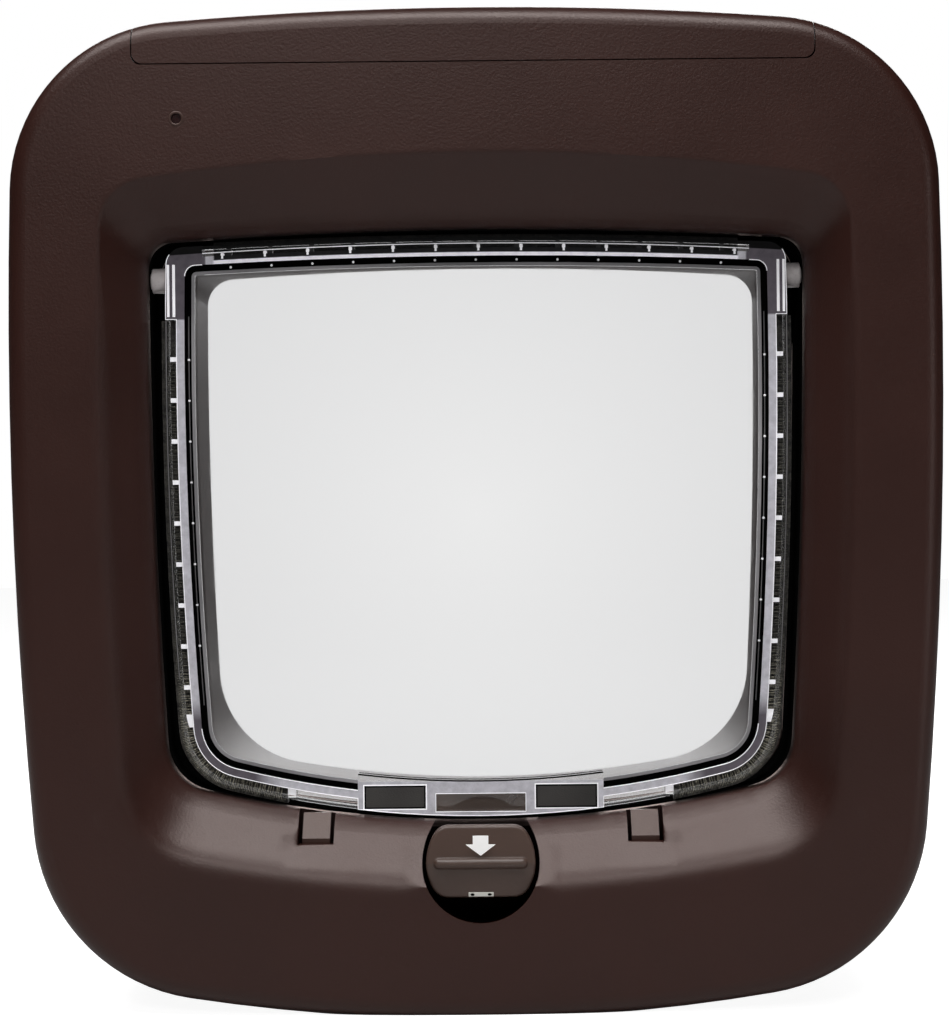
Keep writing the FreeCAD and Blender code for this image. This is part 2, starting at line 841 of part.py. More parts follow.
def flap_foot():
    half = size("foot_half_length")
    region_top = size("flap_bottom") + size("flap_bottom_rise") + size("foot_height")
    region = block((-half, half), (flap_front, flap_back), (size("flap_bottom") - over, region_top))
    foot = outline_ring(flap_outline, flap_front, flap_back, 0, -size("foot_height")).common(region)
    pocket_half = size("magnet_length") / 2 + size("magnet_play")
    rise = size("magnet_height") / 2 + size("magnet_play")
    middle = size("magnet_middle")
    place = size("magnet_place")
    pocket = block(
        (place - pocket_half, place + pocket_half),
        (flap_back - size("magnet_thickness") - 2 * size("magnet_play"), flap_back + over),
        (middle - rise, middle + rise),
    )
    window_half = size("window_half_width")
    web = size("window_web") / 2
    low = size("flap_bottom") + size("window_rise")
    high = low + size("window_height")
    across = (-window_half, window_half)
    window_front = block(across, (flap_front - over, size("flap_middle") - web), (low, high))
    window_back = block(across, (size("flap_middle") + web, flap_back + over), (low, high))
    return foot, [both_sides(pocket), window_front, window_back]


def flap():
    pane_middle = size("flap_middle") + size("pane_offset")
    half_pane = size("pane_thickness") / 2
    pane_front = pane_middle - half_pane
    pane_edge = rail_outer - size("rail_root")
    pane = outline_block(flap_outline, pane_front, pane_middle + half_pane, pane_edge)
    rail = outline_ring(flap_outline, flap_front, flap_back, rail_outer, rail_inner)
    flange = outline_ring(flap_outline, flap_back - size("back_flange"), flap_back, 0, rail_inner)
    rib_outer = -size("inner_rib_inset")
    rib = outline_ring(
        flap_outline,
        pane_front - size("inner_rib_height"),
        pane_front + root,
        rib_outer,
        rib_outer - size("inner_rib_width"),
    )
    fin_front = flap_front + size("fin_setback")
    rim = outline_ring(flap_outline, fin_front, fin_front + size("fin_thickness"), 0, -size("rim_width"))
    foot, foot_cuts = flap_foot()
    limb_low = size("hinge_height") - size("corner_limb") / 2
    corner = block(
        (size("flap_half_top") - size("corner_arm"), size("flap_half_top") + size("flap_side_bulge")),
        (flap_front, flap_back),
        (limb_low, size("flap_top") + over),
    )
    corner = corner.common(outline_block(bracket_outline, flap_front, flap_back))
    corner = corner.cut(outline_block(flap_outline, flap_front, flap_back, rail_inner))
    boss_end = size("throat_half_top") - size("hinge_boss_gap")
    boss_start = size("flap_half_top") - size("hinge_boss_root")
    boss = hinge_rod(size("hinge_boss_radius"), boss_start, boss_end)
    pin = hinge_rod(size("hinge_pin_radius"), boss_end - over, boss_end + size("hinge_pin_reach"))
    solid = pane.fuse([rail, flange, rib, rim, foot, both_sides(corner), both_sides(boss), both_sides(pin)])
    return solid.fuse(flap_fins() + flap_clips()).cut(foot_cuts)


free_shape("flap", flap())


# Brush strips: pile in the channel of the flap, standing out past its edge

brush_front = flap_front + size("fin_setback") + size("fin_thickness") + size("brush_play")
brush_back = flap_back - size("back_flange") - size("brush_play")


def side_brush():
    top = size("hinge_height") - size("corner_limb") / 2 - size("brush_play")
    inner = rail_outer + size("brush_play")
    strip = outline_ring(flap_outline, brush_front, brush_back, size("brush_side_reach"), inner)
    start = size("end_clip_place") + size("end_clip_width") / 2 + size("brush_play")
    across = (start, size("throat_half_top"))
    return strip.common(block(across, (brush_front, brush_back), (size("throat_bottom"), top)))


def top_brush():
    inner = rail_outer + size("brush_play")
    strip = outline_ring(flap_outline, brush_front, brush_back, size("brush_top_reach"), inner)
    half = size("brush_top_half")
    return strip.common(block((-half, half), (brush_front, brush_back), (0, size("throat_top"))))


free_shape("brush_right", side_brush())
free_shape("brush_left", mirror_x(side_brush()))
free_shape("brush_top", top_brush())


# Aerial coil around the throat, just in front of the plate

def aerial_coil():
    inner = wall + size("aerial_play")
    front = size("aerial_front")
    back = front + size("aerial_length")
    return outline_ring(throat_outline, front, back, inner + size("aerial_width"), inner)


free_shape("aerial_coil", aerial_coil())


# Lock dial: a plate with two flats and round corners, a round finger ridge across its middle, and a hub

def flat_disc(radius, front, back, top, bottom, right):
    height = size("dial_height")
    disc = rod(radius, 0, height, front, back)
    return disc.common(block((-radius, right), (front, back), (height - bottom, height + top)))


def lock_dial():
    front = size("dial_front")
    back = size("dial_back")
    height = size("dial_height")
    top = size("dial_top_flat")
    bottom = size("dial_bottom_flat")
    drop = front + size("dial_face_drop")
    radius = size("dial_radius")
    plate_back = front + size("dial_plate_thickness")
    plate = flat_disc(radius, front, plate_back, top, bottom, radius)

    def is_corner(edge):
        box = edge.BoundBox
        return box.XLength < NEAR and box.ZLength < NEAR and abs(box.XMax) < radius - NEAR

    plate = plate.makeFillet(size("dial_corner_radius"), [edge for edge in plate.Edges if is_corner(edge)])
    facets = [
        (height, height + top, front + size("dial_upper_end_drop")),
        (height, height - bottom, front + size("dial_lower_end_drop")),
    ]
    for start, end, end_depth in facets:
        corners = [
            Vector(-radius, front - over, start),
            Vector(-radius, drop, start),
            Vector(-radius, end_depth, end),
            Vector(-radius, front - over, end),
        ]
        face = Part.Face(Part.makePolygon(corners + corners[:1]))
        plate = plate.cut(face.extrude(Vector(2 * radius, 0, 0)))

    def is_face_rim(edge):
        box = edge.BoundBox
        is_crease = box.ZLength < NEAR and abs(box.ZMin - height) < NEAR
        return box.YMax < plate_back - NEAR and not is_crease

    plate = plate.removeSplitter()
    plate = plate.makeFillet(size("dial_edge_radius"), [edge for edge in plate.Edges if is_face_rim(edge)])
    ridge_radius = size("dial_ridge_radius")
    ridge_half = size("dial_ridge_length") / 2 - ridge_radius
    ridge_depth = front + ridge_radius
    ridge_start = Vector(-ridge_half, ridge_depth, height)
    ridge = Part.makeCylinder(ridge_radius, 2 * ridge_half, ridge_start, Vector(1, 0, 0))
    ridge_ends = [Part.makeSphere(ridge_radius, Vector(x, ridge_depth, height)) for x in (-ridge_half, ridge_half)]
    hub = rod(size("dial_hub_radius"), 0, height, plate_back - root, back)
    shaft = rod(size("dial_shaft_radius"), 0, height, back - over, cam_front)
    bore = size("cover_screw_radius") + size("fixing_play")
    hole = rod(bore, 0, height, cam_front - size("dial_screw_length"), cam_front + over)
    return plate.fuse([ridge, hub, shaft] + ridge_ends).cut(hole)


free_shape("lock_dial", lock_dial())


def lock_cam():
    radius = size("cam_radius")
    flat = size("dial_top_flat")
    cam = flat_disc(radius, cam_front, cam_back, flat, radius, flat)
    bore = size("cover_screw_radius") + size("fixing_play")
    return cam.cut(rod(bore, 0, size("dial_height"), cam_front - over, cam_back + over))


free_shape("lock_cam", lock_cam())


# Catches, lift bar and arms that the electric lock raises in front of the flap

def catch(side):
    half = size("catch_width") / 2
    middle = side * size("catch_place")
    front = size("catch_front")
    back = size("catch_back")
    bottom = size("bar_top") - size("bar_height")
    profile = [
        (back, size("catch_top")),
        (back - size("catch_crown"), size("catch_top")),
        (front, size("catch_brow")),
        (front, bottom),
        (back, bottom),
    ]
    points = [Vector(middle - half, y, z) for y, z in profile]
    face = Part.Face(Part.makePolygon(points + points[:1]))
    return face.extrude(Vector(2 * half, 0, 0))


for side, label in ((-1, "catch_left"), (1, "catch_right")):
    free_shape(label, catch(side))


# Lift bar of sketched outline: a long strip with two arms that reach under the catches

def lift_bar():
    body = document.addObject("PartDesign::Body", "lift_bar_body")
    sketch = body.newObject("Sketcher::SketchObject", "lift_bar_outline")
    plane = [item for item in body.Origin.OriginFeatures if item.Role == "XY_Plane"][0]
    sketch.AttachmentSupport = [(plane, "")]
    sketch.MapMode = "FlatFace"
    half = size("catch_width") / 2
    place = size("catch_place")
    arm_end = size("catch_back")
    front = size("bar_back") - size("bar_depth")
    back = size("bar_back")
    left = -place - half
    right = size("lock_coil_place") + size("plunger_radius") + size("bar_end_margin")
    corners = [
        (left, back),
        (left, arm_end),
        (-place + half, arm_end),
        (-place + half, front),
        (place - half, front),
        (place - half, arm_end),
        (place + half, arm_end),
        (place + half, front),
        (right, front),
        (right, back),
    ]
    for start, end in zip(corners, corners[1:] + corners[:1]):
        sketch.addGeometry(Part.LineSegment(Vector(*start, 0), Vector(*end, 0)))
    pad = body.newObject("PartDesign::Pad", "lift_bar_pad")
    pad.Profile = sketch
    pad.setExpression("Length", "Sizes.bar_height")
    body.Placement = Placement(Vector(0, 0, size("bar_top") - size("bar_height")), Rotation())
    return node(body, "lift_bar")


lift_bar()


# Electromagnet and its plunger

def bound_box(name, x, y, z, length, width, height):
    feature = document.addObject("Part::Box", name)
    bind(feature, Length=length, Width=width, Height=height)
    feature.setExpression("Placement.Base.x", x)
    feature.setExpression("Placement.Base.y", y)
    feature.setExpression("Placement.Base.z", z)
    return feature


AXIS_TURNS = {
    "z": Rotation(),
    "x": Rotation(Vector(0, 1, 0), 90),
    "y": Rotation(Vector(1, 0, 0), -90),
}


def bound_cylinder(name, radius, height, x, y, z, axis="z"):
    feature = document.addObject("Part::Cylinder", name)
    bind(feature, Radius=radius, Height=height)
    feature.Placement = Placement(Vector(), AXIS_TURNS[axis])
    feature.setExpression("Placement.Base.x", x)
    feature.setExpression("Placement.Base.y", y)
    feature.setExpression("Placement.Base.z", z)
    return feature


def cut_of(name, base, tool):
    feature = document.addObject("Part::Cut", name)
    feature.Base = base
    feature.Tool = tool
    return feature


def fuse_of(name, shapes):
    feature = document.addObject("Part::MultiFuse", name)
    feature.Shapes = shapes
    return feature


plunger_middle = "Sizes.bar_back - Sizes.bar_depth / 2"
coil_case = bound_box(
    "lock_coil_case",
    "Sizes.lock_coil_place - Sizes.lock_coil_width / 2",
    "Sizes.lock_coil_front",
    "Sizes.lock_coil_top - Sizes.lock_coil_height",
    "Sizes.lock_coil_width",
    "-Sizes.lock_coil_front - Sizes.plate_thickness",
    "Sizes.lock_coil_height",
)
coil_bore = bound_cylinder(
    "lock_coil_bore",
    "Sizes.plunger_radius + Sizes.plunger_play",
    "Sizes.lock_coil_height - Sizes.lock_coil_cap + Sizes.root",
    "Sizes.lock_coil_place",
    plunger_middle,
    "Sizes.lock_coil_top - Sizes.lock_coil_height - Sizes.root",
)
node(cut_of("lock_coil_cut", coil_case, coil_bore), "lock_coil")
node(
    bound_cylinder(
        "lock_plunger_rod",
        "Sizes.plunger_radius",
        "Sizes.plunger_length",
        "Sizes.lock_coil_place",
        plunger_middle,
        "Sizes.bar_top",
    ),
    "lock_plunger",
)


# Batteries: two rows of two, the stud of each on its right-hand end

def battery(number, left, row):
    can = bound_cylinder(
        f"battery_can_{number}",
        "Sizes.cell_radius",
        "Sizes.cell_length - Sizes.nub_length - 2 * Sizes.cell_end_play",
        f"{left} + Sizes.cell_end_play",
        f"{row}",
        f"{cell_height}",
        "x",
    )
    nub = bound_cylinder(
        f"battery_stud_{number}",
        "Sizes.nub_radius",
        "Sizes.nub_length + Sizes.root",
        f"{left} + Sizes.cell_length - Sizes.nub_length - Sizes.root - Sizes.cell_end_play",
        f"{row}",
        f"{cell_height}",
        "x",
    )
    node(fuse_of(f"battery_{number}_fuse", [can, nub]), f"battery_{number}")


cell_places = [
    (left, row) for row in (cell_front_row, cell_rear_row) for left in (-size("cell_length"), 0.0)
]
for number, (left, row) in enumerate(cell_places, start=1):
    battery(number, left, row)


# Contacts: a flat strip on the end wall with a bowed leaf that presses on the cell

def contact(label, side, row):
    reach = size("contact_room") - size("contact_play")
    sheet_metal = size("contact_thickness")
    half = size("contact_half_width")
    base = side * (tray_half - size("cell_end_play"))
    low = cell_height - size("contact_height") / 2

    def bow(width, height):
        start = Vector(base, row - width, low)
        end = Vector(base, row + width, low)
        tip = Vector(base - side * height, row, low)
        return Part.Face(Part.Wire([Part.Arc(start, tip, end).toShape(), Part.makeLine(end, start)]))

    strip_x = sorted((base, base - side * sheet_metal))
    strip = block(strip_x, (row - half, row + half), (low, low + size("contact_height")))
    leaf = bow(half, reach).cut(bow(half - size("contact_inset"), reach - sheet_metal))
    return free_shape(label, leaf.extrude(Vector(0, 0, size("contact_height"))).fuse(strip))


for row, place in ((cell_front_row, "front"), (cell_rear_row, "rear")):
    for side, end in ((-1, "left"), (1, "right")):
        contact(f"contact_{place}_{end}", side, row)


# Circuit board with its light and the learn switch with its button

board = bound_box(
    "board_plate",
    "Sizes.board_left",
    "Sizes.board_front",
    "Sizes.board_bottom",
    "Sizes.board_right - Sizes.board_left",
    "Sizes.board_thickness",
    "Sizes.board_top - Sizes.board_bottom",
)
node(board, "circuit_board")
node(
    bound_cylinder(
        "status_light_rod",
        "Sizes.led_radius",
        "Sizes.board_front + Sizes.frame_depth - Sizes.led_setback",
        "Sizes.led_place",
        "-Sizes.frame_depth + Sizes.led_setback",
        "Sizes.led_height",
        "y",
    ),
    "status_light",
)
switch_case = bound_box(
    "learn_switch_case",
    "Sizes.switch_place - Sizes.switch_width / 2",
    "Sizes.switch_middle - Sizes.switch_width / 2",
    "Sizes.tray_floor_top",
    "Sizes.switch_width",
    "Sizes.switch_width",
    "Sizes.switch_height",
)
switch_bore = bound_cylinder(
    "learn_switch_bore",
    "Sizes.button_radius + Sizes.button_play",
    "Sizes.button_depth + Sizes.button_travel + Sizes.button_end_play + Sizes.overcut",
    "Sizes.switch_place",
    "Sizes.switch_middle",
    "Sizes.button_low - Sizes.button_travel - Sizes.button_end_play",
)
node(cut_of("learn_switch_cut", switch_case, switch_bore), "learn_switch")
node(
    bound_cylinder(
        "learn_button_rod",
        "Sizes.button_radius",
        "Sizes.button_length",
        "Sizes.switch_place",
        "Sizes.switch_middle",
        "Sizes.button_low",
    ),
    "learn_button",
)


# Magnets in the foot of the flap and under the sill below them

for side, end in ((-1, "left"), (1, "right")):
    node(
        bound_box(
            f"flap_magnet_{end}_bar",
            f"{side} * Sizes.magnet_place - Sizes.magnet_length / 2",
            "Sizes.flap_middle + Sizes.flap_thickness / 2 - Sizes.magnet_thickness - Sizes.magnet_play",
            "Sizes.magnet_middle - Sizes.magnet_height / 2",
            "Sizes.magnet_length",
            "Sizes.magnet_thickness",
            "Sizes.magnet_height",
        ),
        f"flap_magnet_{end}",
    )
    node(
        bound_box(
            f"sill_magnet_{end}_bar",
            f"{side} * Sizes.magnet_place - Sizes.magnet_length / 2",
            "Sizes.flap_middle - Sizes.magnet_thickness / 2",
            "Sizes.throat_bottom - Sizes.frame_wall - Sizes.sill_magnet_height - Sizes.fixing_play",
            "Sizes.magnet_length",
            "Sizes.magnet_thickness",
            "Sizes.sill_magnet_height",
        ),
        f"sill_magnet_{end}",
    )


# Screws: shank, head and a cross slot in the head, all pointing into the room

def screw(label, x, z, tip, seat, radius, head_radius, head_height):
    """tip, seat and the sizes are expressions; the head lies behind the seat plane."""
    length = f"{seat} - ({tip}) + Sizes.root"
    shank = bound_cylinder(f"{label}_shank", radius, length, f"{x}", tip, f"{z}", "y")
    head = bound_cylinder(f"{label}_head", head_radius, head_height, f"{x}", seat, f"{z}", "y")
    whole = fuse_of(f"{label}_fuse", [shank, head])
    slots = []
    for turn in ("wide", "tall"):
        spans = [f"{head_radius} * Sizes.cross_reach", "Sizes.slot_width"]
        if turn == "tall":
            spans.reverse()
        slots.append(
            bound_box(
                f"{label}_slot_{turn}",
                f"{x} - {spans[0]} / 2",
                f"{seat} + {head_height} - Sizes.slot_depth",
                f"{z} - {spans[1]} / 2",
                spans[0],
                "Sizes.slot_depth + Sizes.overcut",
                spans[1],
            )
        )
    cross = fuse_of(f"{label}_cross", slots)
    return node(cut_of(f"{label}_cut", whole, cross), label)


for number, (x, z) in enumerate(fixing_points, start=1):
    screw(
        f"fixing_screw_{number}",
        x,
        z,
        "-Sizes.fixing_bite",
        "Sizes.door_gap + Sizes.outdoor_depth - Sizes.fixing_head_depth",
        "Sizes.fixing_radius",
        "Sizes.fixing_head_radius",
        "Sizes.fixing_head_height",
    )

for number, (x, z) in enumerate(cover_screw_points, start=1):
    screw(
        f"liner_screw_{number}",
        x,
        z,
        "-Sizes.cover_screw_length",
        "-Sizes.cover_screw_head_height",
        "Sizes.cover_screw_radius",
        "Sizes.cover_screw_head_radius",
        "Sizes.cover_screw_head_height",
    )

screw(
    "dial_screw",
    0,
    size("dial_height"),
    f"{cam_front} - Sizes.dial_screw_length + Sizes.root",
    f"{cam_back}",
    "Sizes.cover_screw_radius",
    "Sizes.dial_screw_head",
    "Sizes.cover_screw_head_height",
)


# Check every object, then write one file for each node

document.recompute()
for item in document.Objects:
    if "Invalid" in item.State or "Error" in item.State:
        raise RuntimeError(f"{item.Label} is not valid: {item.State}")

os.makedirs("parts", exist_ok=True)
for item in nodes:
    shape = item.Shape
    if shape.isNull() or not shape.isValid() or not shape.Solids:
        raise RuntimeError(f"{item.Label} has no valid solid")
    shape.exportStep(f"parts/{item.Label}.step")
    print(f"{item.Label}: {len(shape.Solids)} solid, {shape.Volume:.0f} mm3")
print(f"{len(nodes)} nodes")
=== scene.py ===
import math
import json

import bpy
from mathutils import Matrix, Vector

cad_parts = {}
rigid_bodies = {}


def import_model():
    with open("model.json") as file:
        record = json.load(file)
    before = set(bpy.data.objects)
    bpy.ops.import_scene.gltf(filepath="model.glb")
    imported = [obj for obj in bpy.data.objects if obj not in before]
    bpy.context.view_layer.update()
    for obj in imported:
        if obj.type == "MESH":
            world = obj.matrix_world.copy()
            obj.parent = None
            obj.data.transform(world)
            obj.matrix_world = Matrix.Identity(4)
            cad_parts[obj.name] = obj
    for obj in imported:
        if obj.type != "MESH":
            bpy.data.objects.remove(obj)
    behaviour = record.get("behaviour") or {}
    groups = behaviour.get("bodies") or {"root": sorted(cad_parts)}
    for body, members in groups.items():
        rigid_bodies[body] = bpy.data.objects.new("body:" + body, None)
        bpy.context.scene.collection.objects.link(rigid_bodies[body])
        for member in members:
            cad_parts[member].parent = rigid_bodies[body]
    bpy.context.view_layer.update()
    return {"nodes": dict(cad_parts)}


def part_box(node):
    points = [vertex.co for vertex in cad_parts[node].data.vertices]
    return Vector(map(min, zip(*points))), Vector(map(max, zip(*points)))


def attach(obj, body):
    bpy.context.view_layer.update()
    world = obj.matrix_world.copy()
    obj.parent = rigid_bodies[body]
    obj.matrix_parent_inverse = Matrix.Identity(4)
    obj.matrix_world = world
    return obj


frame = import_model()
nodes = frame["nodes"]
scene = bpy.context.scene
bpy.ops.object.select_all(action="DESELECT")
print("frame loaded:", len(nodes), "nodes")


# Camera: half a metre in front of the face, level, a little to the right, with a small roll
view = {"distance": 0.5, "face": -0.038, "pixel": 0.0002433, "tall": 1024, "sensor": 32,
        "across": 25.6, "slide": 28.4, "roll": -0.557}

camera = bpy.data.cameras.new("photoCamera")
camera.sensor_fit = "VERTICAL"
camera.sensor_height = view["sensor"]
camera.lens = view["sensor"] * view["distance"] / (view["tall"] * view["pixel"])
camera.shift_x = -view["slide"] / view["tall"]
camera.clip_end = 20
cameraObject = bpy.data.objects.new("photoCamera", camera)
scene.collection.objects.link(cameraObject)
cameraObject.location = (view["across"] * view["pixel"], view["face"] - view["distance"], 0)
cameraObject.rotation_euler = (math.radians(90), 0, 0)
cameraObject.rotation_euler.rotate_axis("Z", math.radians(view["roll"]))
scene.camera = cameraObject
scene.view_settings.view_transform = "Standard"
print("camera placed")


# Outline of the flap: an arched top, sides that bow a little and an arched floor
flapShape = {"top": 0.067, "tall": 0.1322, "half": 0.0776, "bow": 0.0032, "bowFall": 0.0072,
             "arch": 0.0691, "archFall": 0.3487, "floor": -0.0761, "floorRise": 2.0122,
             "topCorner": 0.0075, "lowCorner": 0.016}
# Front planes of the flap's moulding
levels = {"rail": -0.0225, "rim": -0.022, "rib": -0.0208, "window": -0.02, "groove": -0.0198, "near": 0.00006}
# Above this curve the moulding shows the dark pile behind it
crown = {"top": 0.0676, "fall": 0.42, "reach": 0.0740, "steps": 40, "level": -0.02205}
dialAxis = -0.0858


def flapHalf(height):
    down = (flapShape["top"] - height) / flapShape["tall"]
    return flapShape["half"] + down * (flapShape["bow"] - flapShape["bowFall"] * down)


def flapArch(x):
    return flapShape["arch"] - flapShape["archFall"] * x * x


def flapFloor(x):
    return flapShape["floor"] + flapShape["floorRise"] * x * x


def crownHeight(x):
    return crown["top"] - crown["fall"] * x * x


# Small helpers for node trees
def newMaterial(name):
    material = bpy.data.materials.new(name)
    material.use_nodes = True
    material.node_tree.nodes.clear()
    return material, material.node_tree


def addNode(tree, kind, **values):
    node = tree.nodes.new(kind)
    for key, value in values.items():
        setattr(node, key, value)
    return node


def put(socket, value):
    # A number or a colour goes on the socket, and another node's output is linked to it
    if isinstance(value, bpy.types.NodeSocket):
        socket.id_data.links.new(value, socket)
    else:
        socket.default_value = value


def feed(node, **values):
    for key, value in values.items():
        put(node.inputs[key.replace("_", " ")], value)
    return node


def inOrder(tree, kind, *values, **settings):
    # A node whose sockets take the values one after another
    node = addNode(tree, kind, **settings)
    for socket, value in zip(node.inputs, values):
        put(socket, value)
    return node


def maths(tree, operation, *values):
    return inOrder(tree, "ShaderNodeMath", *values, operation=operation).outputs[0]


def product(tree, first, *others):
    for other in others:
        first = maths(tree, "MULTIPLY", first, other)
    return first


def hypotenuse(tree, first, second):
    return maths(tree, "SQRT", maths(tree, "ADD", product(tree, first, first), product(tree, second, second)))


def vectors(tree, operation, *values):
    return inOrder(tree, "ShaderNodeVectorMath", *values, operation=operation)


def scaled(tree, vector, scale):
    return feed(vectors(tree, "SCALE", vector), Scale=scale).outputs["Vector"]


def ramp(tree, value, low, high, start, end):
    node = addNode(tree, "ShaderNodeMapRange")
    return feed(node, Value=value, From_Min=low, From_Max=high, To_Min=start, To_Max=end).outputs["Result"]


def rise(tree, value, limits):
    return ramp(tree, value, *limits, 0, 1)


def fade(tree, value, limits):
    return ramp(tree, value, *limits, 1, 0)


def objectPlace(tree):
    return addNode(tree, "ShaderNodeTexCoord").outputs["Object"]


def objectAxes(tree):
    place = objectPlace(tree)
    split = feed(addNode(tree, "ShaderNodeSeparateXYZ"), Vector=place).outputs
    return place, split["X"], split["Y"], split["Z"]


def noise(tree, place, **values):
    node = addNode(tree, "ShaderNodeTexNoise", noise_dimensions="3D")
    return feed(node, Vector=place, **values).outputs["Fac"]


def colorRamp(tree, value, stops, interpolation="LINEAR"):
    # The ramp's own two stops are set, and further ones are added
    node = feed(addNode(tree, "ShaderNodeValToRGB"), Fac=value)
    node.color_ramp.interpolation = interpolation
    elements = node.color_ramp.elements
    for count, (position, color) in enumerate(stops):
        stop = elements[count] if count < 2 else elements.new(position)
        stop.position = position
        stop.color = (*color, 1)
    return node.outputs["Color"]


def principled(tree, **values):
    return feed(addNode(tree, "ShaderNodeBsdfPrincipled"), **values)


def mixShaders(tree, share, first, second):
    return inOrder(tree, "ShaderNodeMixShader", share, first.outputs[0], second.outputs[0])


def finishMaterial(tree, shader):
    feed(addNode(tree, "ShaderNodeOutputMaterial"), Surface=shader.outputs[0])


# Shared groups
def newGroup(name, inputs, outputs):
    group = bpy.data.node_groups.new(name, "ShaderNodeTree")
    for label, kind, value in inputs:
        group.interface.new_socket(label, in_out="INPUT", socket_type=kind).default_value = value
    for label, kind in outputs:
        group.interface.new_socket(label, in_out="OUTPUT", socket_type=kind)
    return group


def finishGroup(tree, **values):
    feed(addNode(tree, "NodeGroupOutput"), **values)
    return tree


def placeGroup(tree, group):
    return addNode(tree, "ShaderNodeGroup", node_tree=group)


def buildMouldedSkin():
    # Spark-eroded mould texture: a fine pitted grain, broad tone drift and faint handling marks
    tree = newGroup(
        "mouldedSkin",
        [("Color", "NodeSocketColor", (0.02, 0.01, 0.008, 1)), ("Grain Size", "NodeSocketFloat", 0.0006),
         ("Grain Depth", "NodeSocketFloat", 0.00002), ("Roughness", "NodeSocketFloat", 0.42),
         ("Drift", "NodeSocketFloat", 0.12)],
        [("Color", "NodeSocketColor"), ("Roughness", "NodeSocketFloat"), ("Normal", "NodeSocketVector")],
    )
    start = addNode(tree, "NodeGroupInput").outputs
    place = objectPlace(tree)
    pits = noise(tree, place, Scale=maths(tree, "DIVIDE", 1, start["Grain Size"]), Detail=2.0, Roughness=0.55)
    bump = feed(addNode(tree, "ShaderNodeBump"), Strength=1, Distance=start["Grain Depth"], Height=pits)
    tone = ramp(tree, noise(tree, place, Scale=22.0, Detail=3.0, Roughness=0.6), 0.3, 0.7, -1, 1)
    drift = maths(tree, "MULTIPLY_ADD", tone, start["Drift"], 1)
    speck = maths(tree, "MULTIPLY_ADD", pits, 0.12, start["Roughness"])
    return finishGroup(tree, Normal=bump.outputs["Normal"], Color=scaled(tree, start["Color"], drift),
                       Roughness=maths(tree, "MULTIPLY_ADD", tone, 0.02, speck))


# Where shade is painted on the housing: pairs are the two ends of a soft change
paintedShadeParts = {"throatX": 0.098, "throatZ": 0.1, "throatY": (-0.0246, -0.0226), "wellRadius": 0.01445,
             "wellY": (-0.0378, -0.0368), "neckX": 0.01145, "neckTop": -0.0695,
             "neckY": (-0.0345, -0.0335), "least": 0.03}


def buildPaintedDeepShade():
    # 1 on open faces, near 0 where shadow is painted into the throat, the dial's well and its neck
    tree = newGroup("paintedDeepShade", [], [("Open", "NodeSocketFloat")])
    _, x, y, z = objectAxes(tree)
    farX = maths(tree, "ABSOLUTE", x)
    farZ = maths(tree, "ABSOLUTE", z)
    throat = product(tree, maths(tree, "LESS_THAN", farX, paintedShadeParts["throatX"]),
                     maths(tree, "LESS_THAN", farZ, paintedShadeParts["throatZ"]), rise(tree, y, paintedShadeParts["throatY"]))
    radius = hypotenuse(tree, x, maths(tree, "SUBTRACT", z, dialAxis))
    well = product(tree, maths(tree, "LESS_THAN", radius, paintedShadeParts["wellRadius"]),
                   rise(tree, y, paintedShadeParts["wellY"]))
    neck = product(tree, maths(tree, "LESS_THAN", farX, paintedShadeParts["neckX"]), rise(tree, y, paintedShadeParts["neckY"]),
                   maths(tree, "LESS_THAN", z, paintedShadeParts["neckTop"]), maths(tree, "GREATER_THAN", z, dialAxis))
    deep = maths(tree, "MAXIMUM", throat, maths(tree, "MAXIMUM", well, neck))
    return finishGroup(tree, Open=ramp(tree, deep, 0, 1, 1, paintedShadeParts["least"]))


def buildFlapInset():
    # How far a point lies inside the flap's own arched outline, round corners included, in metres
    tree = newGroup("flapInset", [], [("Inset", "NodeSocketFloat")])
    _, x, y, z = objectAxes(tree)

    def rounded(side, level, radius):
        # Inside a corner's own square the distance is taken from its arc
        across = maths(tree, "MAXIMUM", maths(tree, "SUBTRACT", radius, side), 0)
        along = maths(tree, "MAXIMUM", maths(tree, "SUBTRACT", radius, level), 0)
        return maths(tree, "SUBTRACT", radius, hypotenuse(tree, across, along))

    squared = product(tree, x, x)
    down = maths(tree, "DIVIDE", maths(tree, "SUBTRACT", flapShape["top"], z), flapShape["tall"])
    bow = product(tree, down, maths(tree, "MULTIPLY_ADD", down, -flapShape["bowFall"], flapShape["bow"]))
    side = maths(tree, "SUBTRACT", maths(tree, "ADD", bow, flapShape["half"]), maths(tree, "ABSOLUTE", x))
    arch = maths(tree, "MULTIPLY_ADD", squared, -flapShape["archFall"], flapShape["arch"])
    top = maths(tree, "SUBTRACT", arch, z)
    floor = maths(tree, "MULTIPLY_ADD", squared, flapShape["floorRise"], flapShape["floor"])
    low = maths(tree, "SUBTRACT", z, floor)
    corners = maths(tree, "MINIMUM", rounded(side, top, flapShape["topCorner"]),
                    rounded(side, low, flapShape["lowCorner"]))
    least = maths(tree, "MINIMUM", side, maths(tree, "MINIMUM", top, low))
    return finishGroup(tree, Inset=maths(tree, "MINIMUM", least, corners))


# Where the housing's edges are rolled, and how far
shoulder = {"well": 0.0146, "pocketX": 0.0391, "pocketHalf": 0.0050, "pocketLow": -0.0828, "share": 1.2,
            "narrowing": (0.050, 0.062), "radii": (0.0055, 0.0018), "top": (0.0912, 0.0900),
            "low": (-0.0960, -0.0945), "sides": (0.0950, 0.0938), "front": (-0.0285, -0.0305)}


